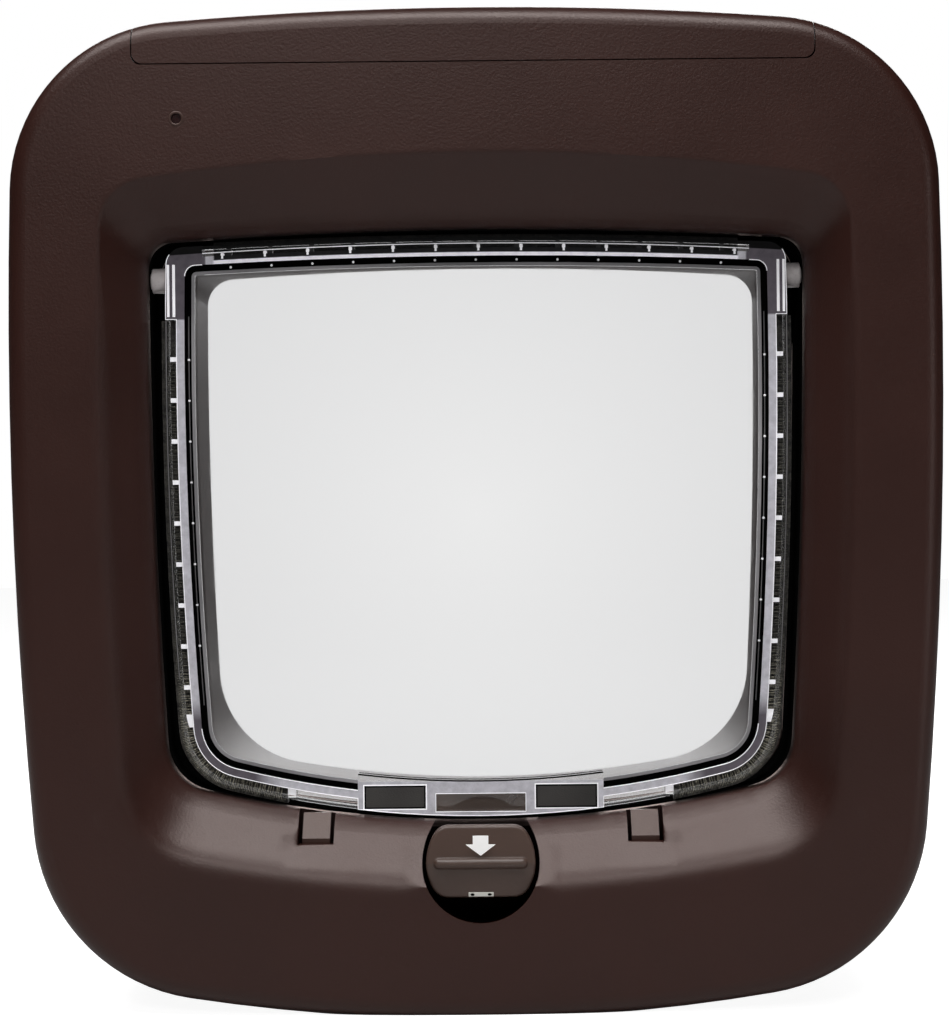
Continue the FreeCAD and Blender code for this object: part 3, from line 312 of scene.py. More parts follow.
def buildShoulderZone():
    # Broad where the face turns into the slope, narrower at the top, nothing at the well and the pockets
    tree = newGroup("shoulderZone", [], [("Radius", "NodeSocketFloat")])
    _, x, y, z = objectAxes(tree)
    farX = maths(tree, "ABSOLUTE", x)
    away = hypotenuse(tree, x, maths(tree, "SUBTRACT", z, dialAxis))
    offWell = maths(tree, "SUBTRACT", away, shoulder["well"])
    beside = maths(tree, "ABSOLUTE", maths(tree, "SUBTRACT", farX, shoulder["pocketX"]))
    offPocket = maths(tree, "MAXIMUM", maths(tree, "SUBTRACT", beside, shoulder["pocketHalf"]),
                      maths(tree, "SUBTRACT", shoulder["pocketLow"], z))
    room = maths(tree, "MAXIMUM", maths(tree, "MINIMUM", offWell, offPocket), 0)
    room = maths(tree, "MINIMUM", product(tree, room, shoulder["share"]),
                 ramp(tree, z, *shoulder["narrowing"], *shoulder["radii"]))
    return finishGroup(tree, Radius=product(
        tree, room, rise(tree, z, shoulder["top"]), rise(tree, z, shoulder["low"]),
        rise(tree, farX, shoulder["sides"]), rise(tree, y, shoulder["front"])))


mouldedSkin = buildMouldedSkin()
paintedDeepShade = buildPaintedDeepShade()
shoulderZone = buildShoulderZone()
flapInset = buildFlapInset()


def mouldedPlastic(name, color, roughness, grainDepth, drift=0.12, grainSize=0.0006, specular=0.5,
                   tint=(1, 1, 1), glow=0.0, alpha=1.0, shaded=False, roll=0.0):
    material, tree = newMaterial(name)
    skin = feed(placeGroup(tree, mouldedSkin), Color=(*color, 1), Grain_Size=grainSize,
                Grain_Depth=grainDepth, Roughness=roughness, Drift=drift).outputs
    base, normal = skin["Color"], skin["Normal"]
    shader = principled(tree, Specular_IOR_Level=specular, Specular_Tint=(*tint, 1), Emission_Strength=glow,
                        Emission_Color=base, Alpha=alpha, Roughness=skin["Roughness"])
    if shaded:
        # Painted shade: the base colour is darkened where the shade group says, and turned metallic there, so
        # that these parts show almost no reflection
        lit = placeGroup(tree, paintedDeepShade).outputs["Open"]
        base = scaled(tree, base, lit)
        feed(shader, Metallic=maths(tree, "SUBTRACT", 1, lit))
    if shaded or roll:
        # The bevelled normal's turn away from the plain one is added to the grain's
        radius = placeGroup(tree, shoulderZone).outputs["Radius"] if shaded else roll
        rolled = feed(addNode(tree, "ShaderNodeBevel", samples=6), Radius=radius)
        plain = addNode(tree, "ShaderNodeNewGeometry")
        turn = vectors(tree, "SUBTRACT", rolled.outputs["Normal"], plain.outputs["Normal"])
        total = vectors(tree, "ADD", normal, turn.outputs["Vector"])
        normal = vectors(tree, "NORMALIZE", total.outputs["Vector"]).outputs["Vector"]
    finishMaterial(tree, feed(shader, Base_Color=base, Normal=normal))
    return material


# Brown housing plastic and the other moulded colours
housingBrown = mouldedPlastic("housingBrown", (0.026, 0.0065, 0.004), 0.33, 0.00006, tint=(1.0, 0.87, 0.83),
                              shaded=True)
tunnelBrown = mouldedPlastic("tunnelBrown", (0.075, 0.05, 0.045), 0.36, 0.00003)
dialBrown = mouldedPlastic("dialBrown", (0.072, 0.043, 0.033), 0.31, 0.00003, roll=0.0006)
catchBrown = mouldedPlastic("catchBrown", (0.04, 0.018, 0.013), 0.36, 0.00003, tint=(1, 0.88, 0.84))
magnetBlack = mouldedPlastic("magnetBlack", (0.02, 0.02, 0.021), 0.5, 0.0001, drift=0.4, grainSize=0.0004)
switchBlack = mouldedPlastic("switchBlack", (0.01, 0.01, 0.01), 0.45, 0.00003)
buttonGrey = mouldedPlastic("buttonGrey", (0.17, 0.17, 0.175), 0.35, 0.00002)
lensRed = mouldedPlastic("lensRed", (0.02, 0.006, 0.006), 0.12, 0.000002, specular=0.6)
# Flat black without shine: painted shade in the gaps, the groove, the rail's inner wall and round the magnets,
# and the dial insert's own dark dots
shadeAndDotBlack = mouldedPlastic("shadeAndDotBlack", (0.002, 0.002, 0.002), 0.9, 0.00001, specular=0.0)
# The arrow's white is its real print; its glow is painted light
arrowWhite = mouldedPlastic("arrowWhite", (0.86, 0.85, 0.84), 0.5, 0.00001, drift=0.03, specular=0.3, glow=0.3)
# Painted highlights: a glowing white for the lines, fins, beads, bars and rims where the clear moulding catches
# light
paintedGlintWhite = mouldedPlastic("paintedGlintWhite", (0.88, 0.87, 0.9), 0.3, 0.00001, drift=0.35, grainSize=0.002, glow=0.3)
windowTint = mouldedPlastic("windowTint", (0.16, 0.115, 0.093), 0.4, 0.00002, drift=0.4, alpha=0.7)
# Painted edge lines: grey lines that stand in for the light and shade along edges of the clear moulding
lineGrey = mouldedPlastic("lineGrey", (0.17, 0.165, 0.17), 0.4, 0.00001, drift=0.5, grainSize=0.002)
# Painted highlight: the clear hinge boss is given a bright frosted colour
bossPaintedBright = mouldedPlastic("bossPaintedBright", (0.5, 0.46, 0.455), 0.22, 0.00006, drift=0.8, grainSize=0.0012)
insertSilver = mouldedPlastic("insertSilver", (0.62, 0.61, 0.56), 0.3, 0.00001, drift=0.2, specular=0.6)
ribFrost = mouldedPlastic("ribFrost", (0.24, 0.23, 0.24), 0.35, 0.00001, drift=0.5)
magnetTint = mouldedPlastic("magnetTint", (0.042, 0.039, 0.037), 0.6, 0.0001, drift=0.5, grainSize=0.0003,
                            specular=0.3)


def buildClearPlastic():
    # Clear flap: full transmission, slightly scuffed, with a faint grey tint; a painted pool of light makes it
    # lighter in the middle and darker towards the edge of the pane
    material, tree = newMaterial("clearFlap")
    place = objectPlace(tree)
    centre = feed(addNode(tree, "ShaderNodeMapping"), Scale=(12.5, 0, 12.5), Vector=place)
    reach = vectors(tree, "LENGTH", centre.outputs["Vector"]).outputs["Value"]
    scuff = noise(tree, place, Scale=180.0, Detail=3.0)
    shader = principled(
        tree, Transmission_Weight=1, IOR=1.49, Roughness=ramp(tree, scuff, 0.4, 0.8, 0.02, 0.07),
        Base_Color=colorRamp(tree, reach, [(0.0, (0.86, 0.86, 0.86)), (1.0, (0.76, 0.76, 0.765))]))
    passing = feed(addNode(tree, "ShaderNodeBsdfTransparent"), Color=(0.6, 0.6, 0.6, 1))
    path = addNode(tree, "ShaderNodeLightPath")
    finishMaterial(tree, mixShaders(tree, path.outputs["Is Shadow Ray"], shader, passing))
    return material


# Parts of the frosted moulding that are painted lighter or darker: pairs are the two ends of a soft change
frostParts = {"cornerZ": (-0.046, -0.0515), "cornerX": (0.050, 0.0565), "bracketZ": (0.0488, 0.0492),
              "bracketX": (0.0676, 0.0680), "bayX": 0.0311, "bayTop": -0.05, "bayFoot": -0.0674,
              "channelZ": (0.0585, 0.0595), "channelX": (0.0655, 0.0661), "channelInset": (0.0037, 0.0039),
              "barZ": (0.0575, 0.0585), "rimInset": (0.00095, 0.00105), "crownSoft": (-0.00006, 0.00006),
              "unlit": 0.02}


def frosted(name, bright, dim, kind):
    # Frosted clear plastic with painted light: it glows with its own patchy tone, painted dark where it would be
    # unlit, with its own lines and openings
    material, tree = newMaterial(name)
    place, x, y, z = objectAxes(tree)
    inset = placeGroup(tree, flapInset).outputs["Inset"]
    farX = maths(tree, "ABSOLUTE", x)
    patchy = ramp(tree, noise(tree, place, Scale=520.0, Detail=4.0, Roughness=0.65), 0.3, 0.7, 0, 1)
    if kind == "rail":
        corner = product(tree, rise(tree, z, frostParts["cornerZ"]), rise(tree, farX, frostParts["cornerX"]))
        bracket = product(tree, rise(tree, z, frostParts["bracketZ"]), rise(tree, farX, frostParts["bracketX"]))
        mask = maths(tree, "MAXIMUM", corner, bracket)
        # The foot's bays are open
        bays = product(tree, maths(tree, "LESS_THAN", farX, frostParts["bayX"]),
                       maths(tree, "LESS_THAN", z, frostParts["bayTop"]),
                       maths(tree, "GREATER_THAN", z, frostParts["bayFoot"]))
        seen = maths(tree, "SUBTRACT", 1, bays)
        # Painted shade above the crown line and in the top channel, painted highlight twice as bright on the bar
        curve = maths(tree, "MULTIPLY_ADD", product(tree, x, x), -crown["fall"], crown["top"])
        below = fade(tree, maths(tree, "SUBTRACT", z, curve), frostParts["crownSoft"])
        between = fade(tree, farX, frostParts["channelX"])
        channel = product(tree, rise(tree, z, frostParts["channelZ"]), between,
                          fade(tree, inset, frostParts["channelInset"]))
        bar = product(tree, rise(tree, z, frostParts["barZ"]), between)
        lit = product(tree, below, maths(tree, "SUBTRACT", 1, channel), maths(tree, "ADD", bar, 1))
    else:
        mask = fade(tree, inset, frostParts["rimInset"])
        lit = fade(tree, z, frostParts["channelZ"])
        seen = maths(tree, "SUBTRACT", 1, product(tree, mask, lit))
    tone = feed(addNode(tree, "ShaderNodeMix", data_type="RGBA"), A=(*bright, 1), B=(*dim, 1), Factor=mask)
    # Where it is painted unlit, the tone falls only to the dark pile's level
    lit = maths(tree, "MAXIMUM", lit, frostParts["unlit"])
    patch = scaled(tree, tone.outputs["Result"],
                   product(tree, lit, maths(tree, "MULTIPLY_ADD", patchy, 0.3, 0.78)))
    # Painted light: the moulding glows with the same tone
    finishMaterial(tree, principled(
        tree, Specular_IOR_Level=0.15, Emission_Strength=0.3, Base_Color=patch, Emission_Color=patch,
        Alpha=seen, Roughness=maths(tree, "MULTIPLY_ADD", patchy, 0.15, 0.3)))
    return material


def buildBrushPile(name, dark, pale, paintedLowLight):
    # Short dark pile: fine broken threads with a few pale tips; painted light makes it paler low down and painted
    # shade dark at the top
    material, tree = newMaterial(name)
    place, x, y, z = objectAxes(tree)
    threads = noise(tree, place, Scale=2600.0, Detail=2.0)
    rows = noise(tree, place, Scale=700.0, Detail=1.0)
    both = maths(tree, "MULTIPLY_ADD", rows, 0.5, product(tree, threads, 0.6))
    tone = colorRamp(tree, both, [(0.42, dark), (0.74, pale)])
    # Painted light and shade by height
    paintedHeightLight = product(tree, ramp(tree, z, -0.030, -0.055, 1, paintedLowLight), ramp(tree, z, 0.052, 0.058, 1, 0.3))
    bump = feed(addNode(tree, "ShaderNodeBump"), Distance=0.0004, Height=both)
    finishMaterial(tree, principled(tree, Roughness=0.95, Sheen_Weight=0.2, Normal=bump.outputs["Normal"],
                                    Base_Color=scaled(tree, tone, paintedHeightLight)))
    return material


def metal(name, color, roughness, scale):
    # Plated metal with fine drawn lines and an uneven shine
    material, tree = newMaterial(name)
    stretch = feed(addNode(tree, "ShaderNodeMapping"), Scale=scale, Vector=objectPlace(tree))
    lines = noise(tree, stretch.outputs["Vector"], Scale=1.0, Detail=3.0)
    darker = [c * 0.75 for c in color]
    finishMaterial(tree, principled(
        tree, Metallic=1, Base_Color=colorRamp(tree, lines, [(0.0, darker), (1.0, color)]),
        Roughness=ramp(tree, lines, 0, 1, roughness - 0.1, roughness + 0.15)))
    return material


def buildBatteryJacket():
    # Plain printed jacket: graphite body, a copper band at the stud end of each cell, a steel end
    material, tree = newMaterial("batteryJacket")
    place, x, y, z = objectAxes(tree)
    cellLength = 0.0505
    along = maths(tree, "MODULO", maths(tree, "ADD", x, cellLength), cellLength)
    tone = colorRamp(tree, maths(tree, "DIVIDE", along, cellLength),
                     [(0.0, (0.025, 0.028, 0.035)), (0.72, (0.45, 0.25, 0.12)), (0.968, (0.6, 0.6, 0.62))],
                     "CONSTANT")
    grime = noise(tree, place, Scale=150.0, Detail=4.0)
    finishMaterial(tree, principled(tree, Metallic=0.6, Base_Color=tone,
                                    Roughness=ramp(tree, grime, 0, 1, 0.2, 0.45)))
    return material


def buildBoardGreen():
    # Lacquered board with fine copper tracks under the lacquer
    material, tree = newMaterial("boardGreen")
    turn = feed(addNode(tree, "ShaderNodeMapping"), Rotation=(math.radians(-90), 0, 0), Vector=objectPlace(tree))
    grid = feed(addNode(tree, "ShaderNodeTexBrick"), Vector=turn.outputs["Vector"], Scale=1.0,
                Color1=(0.012, 0.10, 0.045, 1), Color2=(0.014, 0.115, 0.05, 1), Mortar=(0.03, 0.19, 0.085, 1),
                Mortar_Size=0.0003, Brick_Width=0.0052, Row_Height=0.0021)
    finishMaterial(tree, principled(tree, Roughness=0.25, Coat_Weight=0.6, Base_Color=grid.outputs["Color"]))
    return material


clearFlap = buildClearPlastic()
railFrostGlow = frosted("railFrostGlow", (0.42, 0.41, 0.445), (0.085, 0.075, 0.088), "rail")
finFrostGlow = frosted("finFrostGlow", (0.9, 0.89, 0.92), (0.07, 0.065, 0.07), "fin")
brushPile = buildBrushPile("brushPile", (0.003, 0.0027, 0.0027), (0.06, 0.055, 0.047), 1.8)
brushThread = buildBrushPile("brushThread", (0.01, 0.009, 0.007), (0.11, 0.103, 0.08), 5.0)
screwSteel = metal("screwSteel", (0.55, 0.55, 0.57), 0.35, (3000, 400, 3000))
contactNickel = metal("contactNickel", (0.66, 0.63, 0.57), 0.28, (400, 400, 4000))
coilCopper = metal("coilCopper", (0.62, 0.26, 0.12), 0.4, (500, 7000, 500))
caseSteel = metal("caseSteel", (0.5, 0.5, 0.52), 0.4, (600, 600, 3000))
batteryJacket = buildBatteryJacket()
boardGreen = buildBoardGreen()

finishes = {
    "indoor_frame": housingBrown, "battery_cover": housingBrown, "tunnel_liner": tunnelBrown,
    "outdoor_frame": tunnelBrown, "flap": clearFlap, "lock_dial": dialBrown, "lock_cam": dialBrown,
    "catch_left": catchBrown, "catch_right": catchBrown, "lift_bar": catchBrown,
    "brush_left": brushPile, "brush_right": brushPile, "brush_top": brushPile,
    "flap_magnet_left": magnetBlack, "flap_magnet_right": magnetBlack,
    "sill_magnet_left": magnetBlack, "sill_magnet_right": magnetBlack,
    "aerial_coil": coilCopper, "lock_coil": caseSteel, "lock_plunger": screwSteel,
    "circuit_board": boardGreen, "status_light": lensRed, "learn_switch": switchBlack,
    "learn_button": buttonGrey, "battery": batteryJacket, "contact": contactNickel,
}
for name, node in nodes.items():
    finish = finishes.get(name) or finishes.get(name.split("_")[0], screwSteel)
    node.data.materials.clear()
    node.data.materials.append(finish)
print("materials set on", len(nodes), "nodes")


# Small helpers for meshes
def pickOnly(piece):
    bpy.ops.object.select_all(action="DESELECT")
    piece.select_set(True)
    bpy.context.view_layer.objects.active = piece


def settle(piece):
    # Put a piece's place into its mesh
    pickOnly(piece)
    bpy.ops.object.transform_apply(location=True, rotation=True, scale=True)


def startEdit():
    bpy.ops.object.mode_set(mode="EDIT")


def endEdit():
    bpy.ops.object.mode_set(mode="OBJECT")


def editAll(piece):
    pickOnly(piece)
    startEdit()
    bpy.ops.mesh.select_all(action="SELECT")


def pickNone(kind):
    # Leave edit mode with nothing picked, so that single faces, edges or points can be
    bpy.ops.mesh.select_mode(type=kind)
    bpy.ops.mesh.select_all(action="DESELECT")
    endEdit()


def mergedCopy(name, source):
    # A copy of a node's mesh with its points merged, in edit mode
    piece = bpy.data.objects.new(name, nodes[source].data.copy())
    scene.collection.objects.link(piece)
    editAll(piece)
    bpy.ops.mesh.remove_doubles(threshold=0.00001)
    return piece


def thicken(piece, thickness, offset):
    wall = piece.modifiers.new("wall", "SOLIDIFY")
    wall.thickness = thickness
    wall.offset = offset
    bpy.ops.object.modifier_apply(modifier="wall")


def dress(piece, finish):
    piece.data.materials.clear()
    piece.data.materials.append(finish)


def softBar(name, place, size, edge, segments, finish):
    # A small bar with broken edges
    bpy.ops.mesh.primitive_cube_add(size=1, location=place)
    bar = bpy.context.active_object
    bar.name = name
    bar.scale = size
    settle(bar)
    editAll(bar)
    bpy.ops.mesh.bevel(offset=edge, segments=segments, affect="EDGES")
    endEdit()
    dress(bar, finish)
    return bar


def copyAt(piece, place):
    other = piece.copy()
    other.data = piece.data.copy()
    other.location = place
    scene.collection.objects.link(other)
    return other


def joinRow(name, row, finish):
    pickOnly(row[0])
    for piece in row:
        piece.select_set(True)
    bpy.ops.object.join()
    joined = bpy.context.active_object
    joined.name = name
    settle(joined)
    dress(joined, finish)
    return joined


# Skins on the flap, most of them painted light and shade on its clear moulding: each takes the faces of one plane
# from a merged copy of the flap's mesh
skins = {"lift": 0.00004, "magnetPlay": 0.0003, "magnetGlintRim": 0.0006, "magnetDraw": -0.0001,
         "shadeFront": -0.02253, "shadeThick": 0.00004, "shadeEdge": 0.000015, "cutFront": -0.024,
         "cutBack": -0.021, "lineRadius": 0.00013, "sharp": 50}


def nodeSkin(name, source, finish, wanted, dropMiddle=False):
    piece = mergedCopy(name, source)
    mesh = piece.data
    pickNone("FACE")
    for face in mesh.polygons:
        face.select = not wanted(face, mesh)
    startEdit()
    bpy.ops.mesh.delete(type="FACE")
    if dropMiddle:
        # The pane's own middle is an island of its own on the same plane
        pickNone("VERT")
        nearest = min(mesh.vertices, key=lambda v: v.co.x ** 2 + v.co.z ** 2)
        nearest.select = True
        startEdit()
        bpy.ops.mesh.select_linked()
        bpy.ops.mesh.delete(type="VERT")
    endEdit()
    thicken(piece, skins["lift"], 1)
    dress(piece, finish)
    return piece


def flapSkin(name, finish, wanted, dropMiddle=False):
    piece = nodeSkin(name, "flap", finish, wanted, dropMiddle)
    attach(piece, "flap")
    return piece


def onPlane(level):
    return lambda face, mesh: face.normal.y < -0.99 and abs(face.center.y - level) < levels["near"]


def onRailWall(face, mesh):
    # The wall of the rail that looks inwards to the pane
    heights = [mesh.vertices[v].co.y for v in face.vertices]
    if abs(face.normal.y) > 0.3 or min(heights) > -0.0222 or max(heights) > -0.0190:
        return False
    middle = face.center
    inwards = face.normal.x * middle.x + face.normal.z * (middle.z + 0.004) < 0
    return inwards and abs(middle.x) < 0.0745 and -0.0715 < middle.z < 0.0650


def onWindow(face, mesh):
    return onPlane(levels["window"])(face, mesh) and face.center.z < -0.06


def onBoss(face, mesh):
    return abs(face.center.x) > 0.0784 and face.center.z > 0.053


def cutOut(piece, low, high):
    # A plain opening through a skin
    bpy.ops.mesh.primitive_cube_add(size=1, location=[(a + b) / 2 for a, b in zip(low, high)])
    cutter = bpy.context.active_object
    cutter.scale = [b - a for a, b in zip(low, high)]
    pickOnly(piece)
    opening = piece.modifiers.new("opening", "BOOLEAN")
    opening.operation = "DIFFERENCE"
    opening.object = cutter
    bpy.ops.object.modifier_apply(modifier="opening")
    bpy.data.objects.remove(cutter)


def buildMagnetShade(side, low, high):
    # The magnet as it shows at the front of the clear foot, with a rim of painted highlight and a line of painted
    # shade all round
    middle = [(a + b) / 2 for a, b in zip(low, high)]
    for label, grow, lift, finish in (("magnetGlintRim", skins["magnetGlintRim"], -0.00001, paintedGlintWhite),
                                      ("magnetShadeLine", skins["magnetPlay"], 0.00001, shadeAndDotBlack),
                                      ("magnetShade", skins["magnetDraw"], 0.00003, magnetTint)):
        piece = softBar(label + side.capitalize(), (middle[0], skins["shadeFront"] - lift, middle[2]),
                        (high[0] - low[0] + 2 * grow, skins["shadeThick"], high[2] - low[2] + 2 * grow),
                        skins["shadeEdge"], 1, finish)
        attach(piece, "flap")


railFace = flapSkin("railFace", railFrostGlow, onPlane(levels["rail"]))
for side in ("left", "right"):
    low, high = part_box("flap_magnet_" + side)
    play = skins["magnetGlintRim"]
    cutOut(railFace, (low[0] - play, skins["cutFront"], low[2] - play),
           (high[0] + play, skins["cutBack"], high[2] + play))
    buildMagnetShade(side, low, high)
flapSkin("finFace", finFrostGlow, onPlane(levels["rim"]))
flapSkin("ribFace", ribFrost, onPlane(levels["rib"]))
# Painted shade: the groove's front and the rail's inner wall are black, standing in for the dark lines that the
# clear moulding shows there
flapSkin("grooveFace", shadeAndDotBlack, onPlane(levels["groove"]), dropMiddle=True)
flapSkin("railWall", shadeAndDotBlack, onRailWall)
flapSkin("windowShade", windowTint, onWindow)
# The hinge boss's bright skin is painted highlight
flapSkin("bossFace", bossPaintedBright, onBoss)


def allAt(ends, level):
    return all(abs(end.y - level) <= levels["near"] for end in ends)


def atFront(ends, middle):
    # Front edges of the rail and brackets, without the foot's bays and the inner edge,
    # and without what lies above the crown line
    onFoot = abs(middle.x) < 0.0312 and -0.0683 < middle.z < -0.05
    high = middle.z > flapArch(middle.x) - 0.005 and abs(middle.x) < 0.066
    high = high or middle.z > crownHeight(middle.x)
    innerSide = abs(middle.x) < flapHalf(middle.z) - 0.0047 and -0.052 < middle.z < 0.0585
    return allAt(ends, levels["rail"]) and not (onFoot or high or innerSide)


def atRim(ends, middle):
    # The rim's outer edge down each side
    beside = abs(flapHalf(middle.z) - abs(middle.x)) < 0.0002
    return allAt(ends, levels["rim"]) and beside and -0.047 < middle.z < 0.049


def roundWire(name, finish):
    # The picked piece's edges become a fine round line
    bpy.ops.object.convert(target="CURVE")
    piece = bpy.context.active_object
    piece.data.bevel_depth = skins["lineRadius"]
    piece.data.bevel_resolution = 1
    bpy.ops.object.convert(target="MESH")
    piece = bpy.context.active_object
    piece.name = name
    dress(piece, finish)
    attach(piece, "flap")


def buildEdgeLines(name, wanted, finish):
    # Front edges of the clear moulding are drawn as thin lines of painted light and shade
    mesh = mergedCopy(name, "flap").data
    bpy.ops.mesh.select_mode(type="EDGE")
    bpy.ops.mesh.select_all(action="DESELECT")
    bpy.ops.mesh.edges_select_sharp(sharpness=math.radians(skins["sharp"]))
    endEdit()
    for edge in mesh.edges:
        ends = [mesh.vertices[v].co for v in edge.vertices]
        edge.select = edge.select and wanted(ends, (ends[0] + ends[1]) / 2)
    startEdit()
    bpy.ops.mesh.select_all(action="INVERT")
    bpy.ops.mesh.delete(type="EDGE_FACE")
    endEdit()
    mesh.materials.clear()
    roundWire(name, finish)


def buildPathLine(name, points, finish):
    # A fine line along points on the flap's front
    mesh = bpy.data.meshes.new(name)
    mesh.from_pydata(points, [(i, i + 1) for i in range(len(points) - 1)], [])
    piece = bpy.data.objects.new(name, mesh)
    scene.collection.objects.link(piece)
    pickOnly(piece)
    roundWire(name, finish)


# Painted highlights along the front edges and the crown line, painted edge lines down the rim
buildEdgeLines("edgeHighlightLines", atFront, paintedGlintWhite)
buildEdgeLines("rimLines", atRim, lineGrey)
crownPlaces = [crown["reach"] * i / crown["steps"] for i in range(-crown["steps"], crown["steps"] + 1)]
buildPathLine("crownLine", [(x, crown["level"], crownHeight(x)) for x in crownPlaces], paintedGlintWhite)


# Short fins that stand across the top channel, from the crown line to the bar, in the glowing white of painted
# highlight
topFins = {"first": -0.06356, "pitch": 0.01071, "count": 13, "half": 0.00042, "front": -0.02256,
           "back": -0.0209, "under": 0.00025, "foot": 0.0655, "tall": 0.0018, "edge": 0.0002}


def buildTopFins():
    fin = softBar("topFin", (0, 0, 0), (2 * topFins["half"], topFins["back"] - topFins["front"], topFins["tall"]),
                  topFins["edge"], 2, paintedGlintWhite)
    row = []
    for i in range(topFins["count"]):
        x = topFins["first"] + topFins["pitch"] * i
        top = crownHeight(x) - topFins["under"]
        foot = topFins["foot"] - flapShape["archFall"] * x * x
        row.append(copyAt(fin, (x, (topFins["front"] + topFins["back"]) / 2, (top + foot) / 2)))
        row[-1].scale = (1, 1, (top - foot) / topFins["tall"])
    bpy.data.objects.remove(fin)
    fins = joinRow("topFins", row, paintedGlintWhite)
    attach(fins, "flap")


buildTopFins()

# Fine painted edge line down each side of the groove
grooveLine = {"inset": 0.0054, "level": -0.0199, "top": 0.050, "step": 0.002, "count": 50}
for side, label in ((1, "Right"), (-1, "Left")):
    heights = [grooveLine["top"] - grooveLine["step"] * i for i in range(grooveLine["count"])]
    buildPathLine("grooveLine" + label, [(side * (flapHalf(z) - grooveLine["inset"]), grooveLine["level"], z)
                                         for z in heights], lineGrey)


# Painted shade: black sheets over the walls of the gap round the flap, where there is only shadow: the source,
# the depths that the front edge of a wall lies between, how far out and how high the walls are, how near, and
# where the sheet ends at its back
shadeLinings = {
    "throatShadeLining": ("indoor_frame", (-0.0225, -0.0185), 0.086, (-0.0788, 0.0735), 0, -0.0045),
    "cornerShadeLining": ("indoor_frame", (-0.0186, -0.0035), 0.086, (0.030, 0.0735), 0.0790, -0.0032),
    "collarShadeLining": ("tunnel_liner", (-0.004, 0.001), 0.0875, (-0.083, 0.078), 0, 0.014),
}


def inwardWall(depths, reach, heights, near):
    # Walls that look to the middle of the way
    def wanted(face, mesh):
        middle = face.center
        front = min(mesh.vertices[v].co.y for v in face.vertices)
        return (abs(face.normal.y) < 0.5 and depths[0] < front < depths[1]
                and near < abs(middle.x) < reach and heights[0] < middle.z < heights[1]
                and face.normal.x * middle.x + face.normal.z * middle.z < 0)
    return wanted


for name, (source, depths, reach, heights, near, cutAt) in shadeLinings.items():
    # Each sheet is flat black, painted shade
    shadeLining = nodeSkin(name, source, shadeAndDotBlack, inwardWall(depths, reach, heights, near))
    editAll(shadeLining)
    bpy.ops.mesh.bisect(plane_co=(0, cutAt, 0), plane_no=(0, 1, 0), clear_outer=True, use_fill=True)
    endEdit()
    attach(shadeLining, "frame")
print("flap skins and throat lining made")


# Beads in the groove inside the rail, in step with the bridges over the brush, in the glowing white of painted
# highlight
beads = {"radius": 0.00032, "flat": 0.6, "pitch": 0.0103, "level": -0.0199, "inset": 0.0054, "across": 6,
         "down": 8, "sideTop": 0.0391}

bpy.ops.mesh.primitive_uv_sphere_add(segments=10, ring_count=6, radius=beads["radius"])
bead = bpy.context.active_object
editAll(bead)
bpy.ops.transform.resize(value=(1, beads["flat"], 1))
endEdit()
places = []
for step in range(-beads["across"], beads["across"] + 1):
    x = step * beads["pitch"]
    places.append((x, beads["level"], flapArch(x) - beads["inset"]))
for step in range(beads["down"]):
    z = beads["sideTop"] - step * beads["pitch"]
    for side in (-1, 1):
        places.append((side * (flapHalf(z) - beads["inset"]), beads["level"], z))
beadRow = joinRow("grooveBeads", [copyAt(bead, place) for place in places], paintedGlintWhite)
bpy.data.objects.remove(bead)
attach(beadRow, "flap")
print("groove beads made:", len(places))


# Arrow and bright insert on the dial's two facets
dialMarks = {"ridgeFront": -0.0362, "upperSlope": 1.4 / 9.0, "lowerSlope": 1.2 / 8.5, "stemHalf": 0.0019,
             "headHalf": 0.0036, "stemTop": -0.07877, "shoulder": -0.08097, "tip": -0.08376, "step": 0.00002,
             "arrowLift": 0.0001, "arrowThick": 0.0002, "insertHeight": -0.0935, "insertHalf": 0.0031,
             "insertRise": 0.00055, "insertThick": 0.0004, "insertEdge": 0.00016, "dotPlace": 0.0021,
             "dotRadius": 0.00033, "dotThick": 0.0005}


def facetFront(height):
    fromAxis = height - dialAxis
    slope = dialMarks["upperSlope"] if fromAxis > 0 else -dialMarks["lowerSlope"]
    return dialMarks["ridgeFront"] + slope * fromAxis


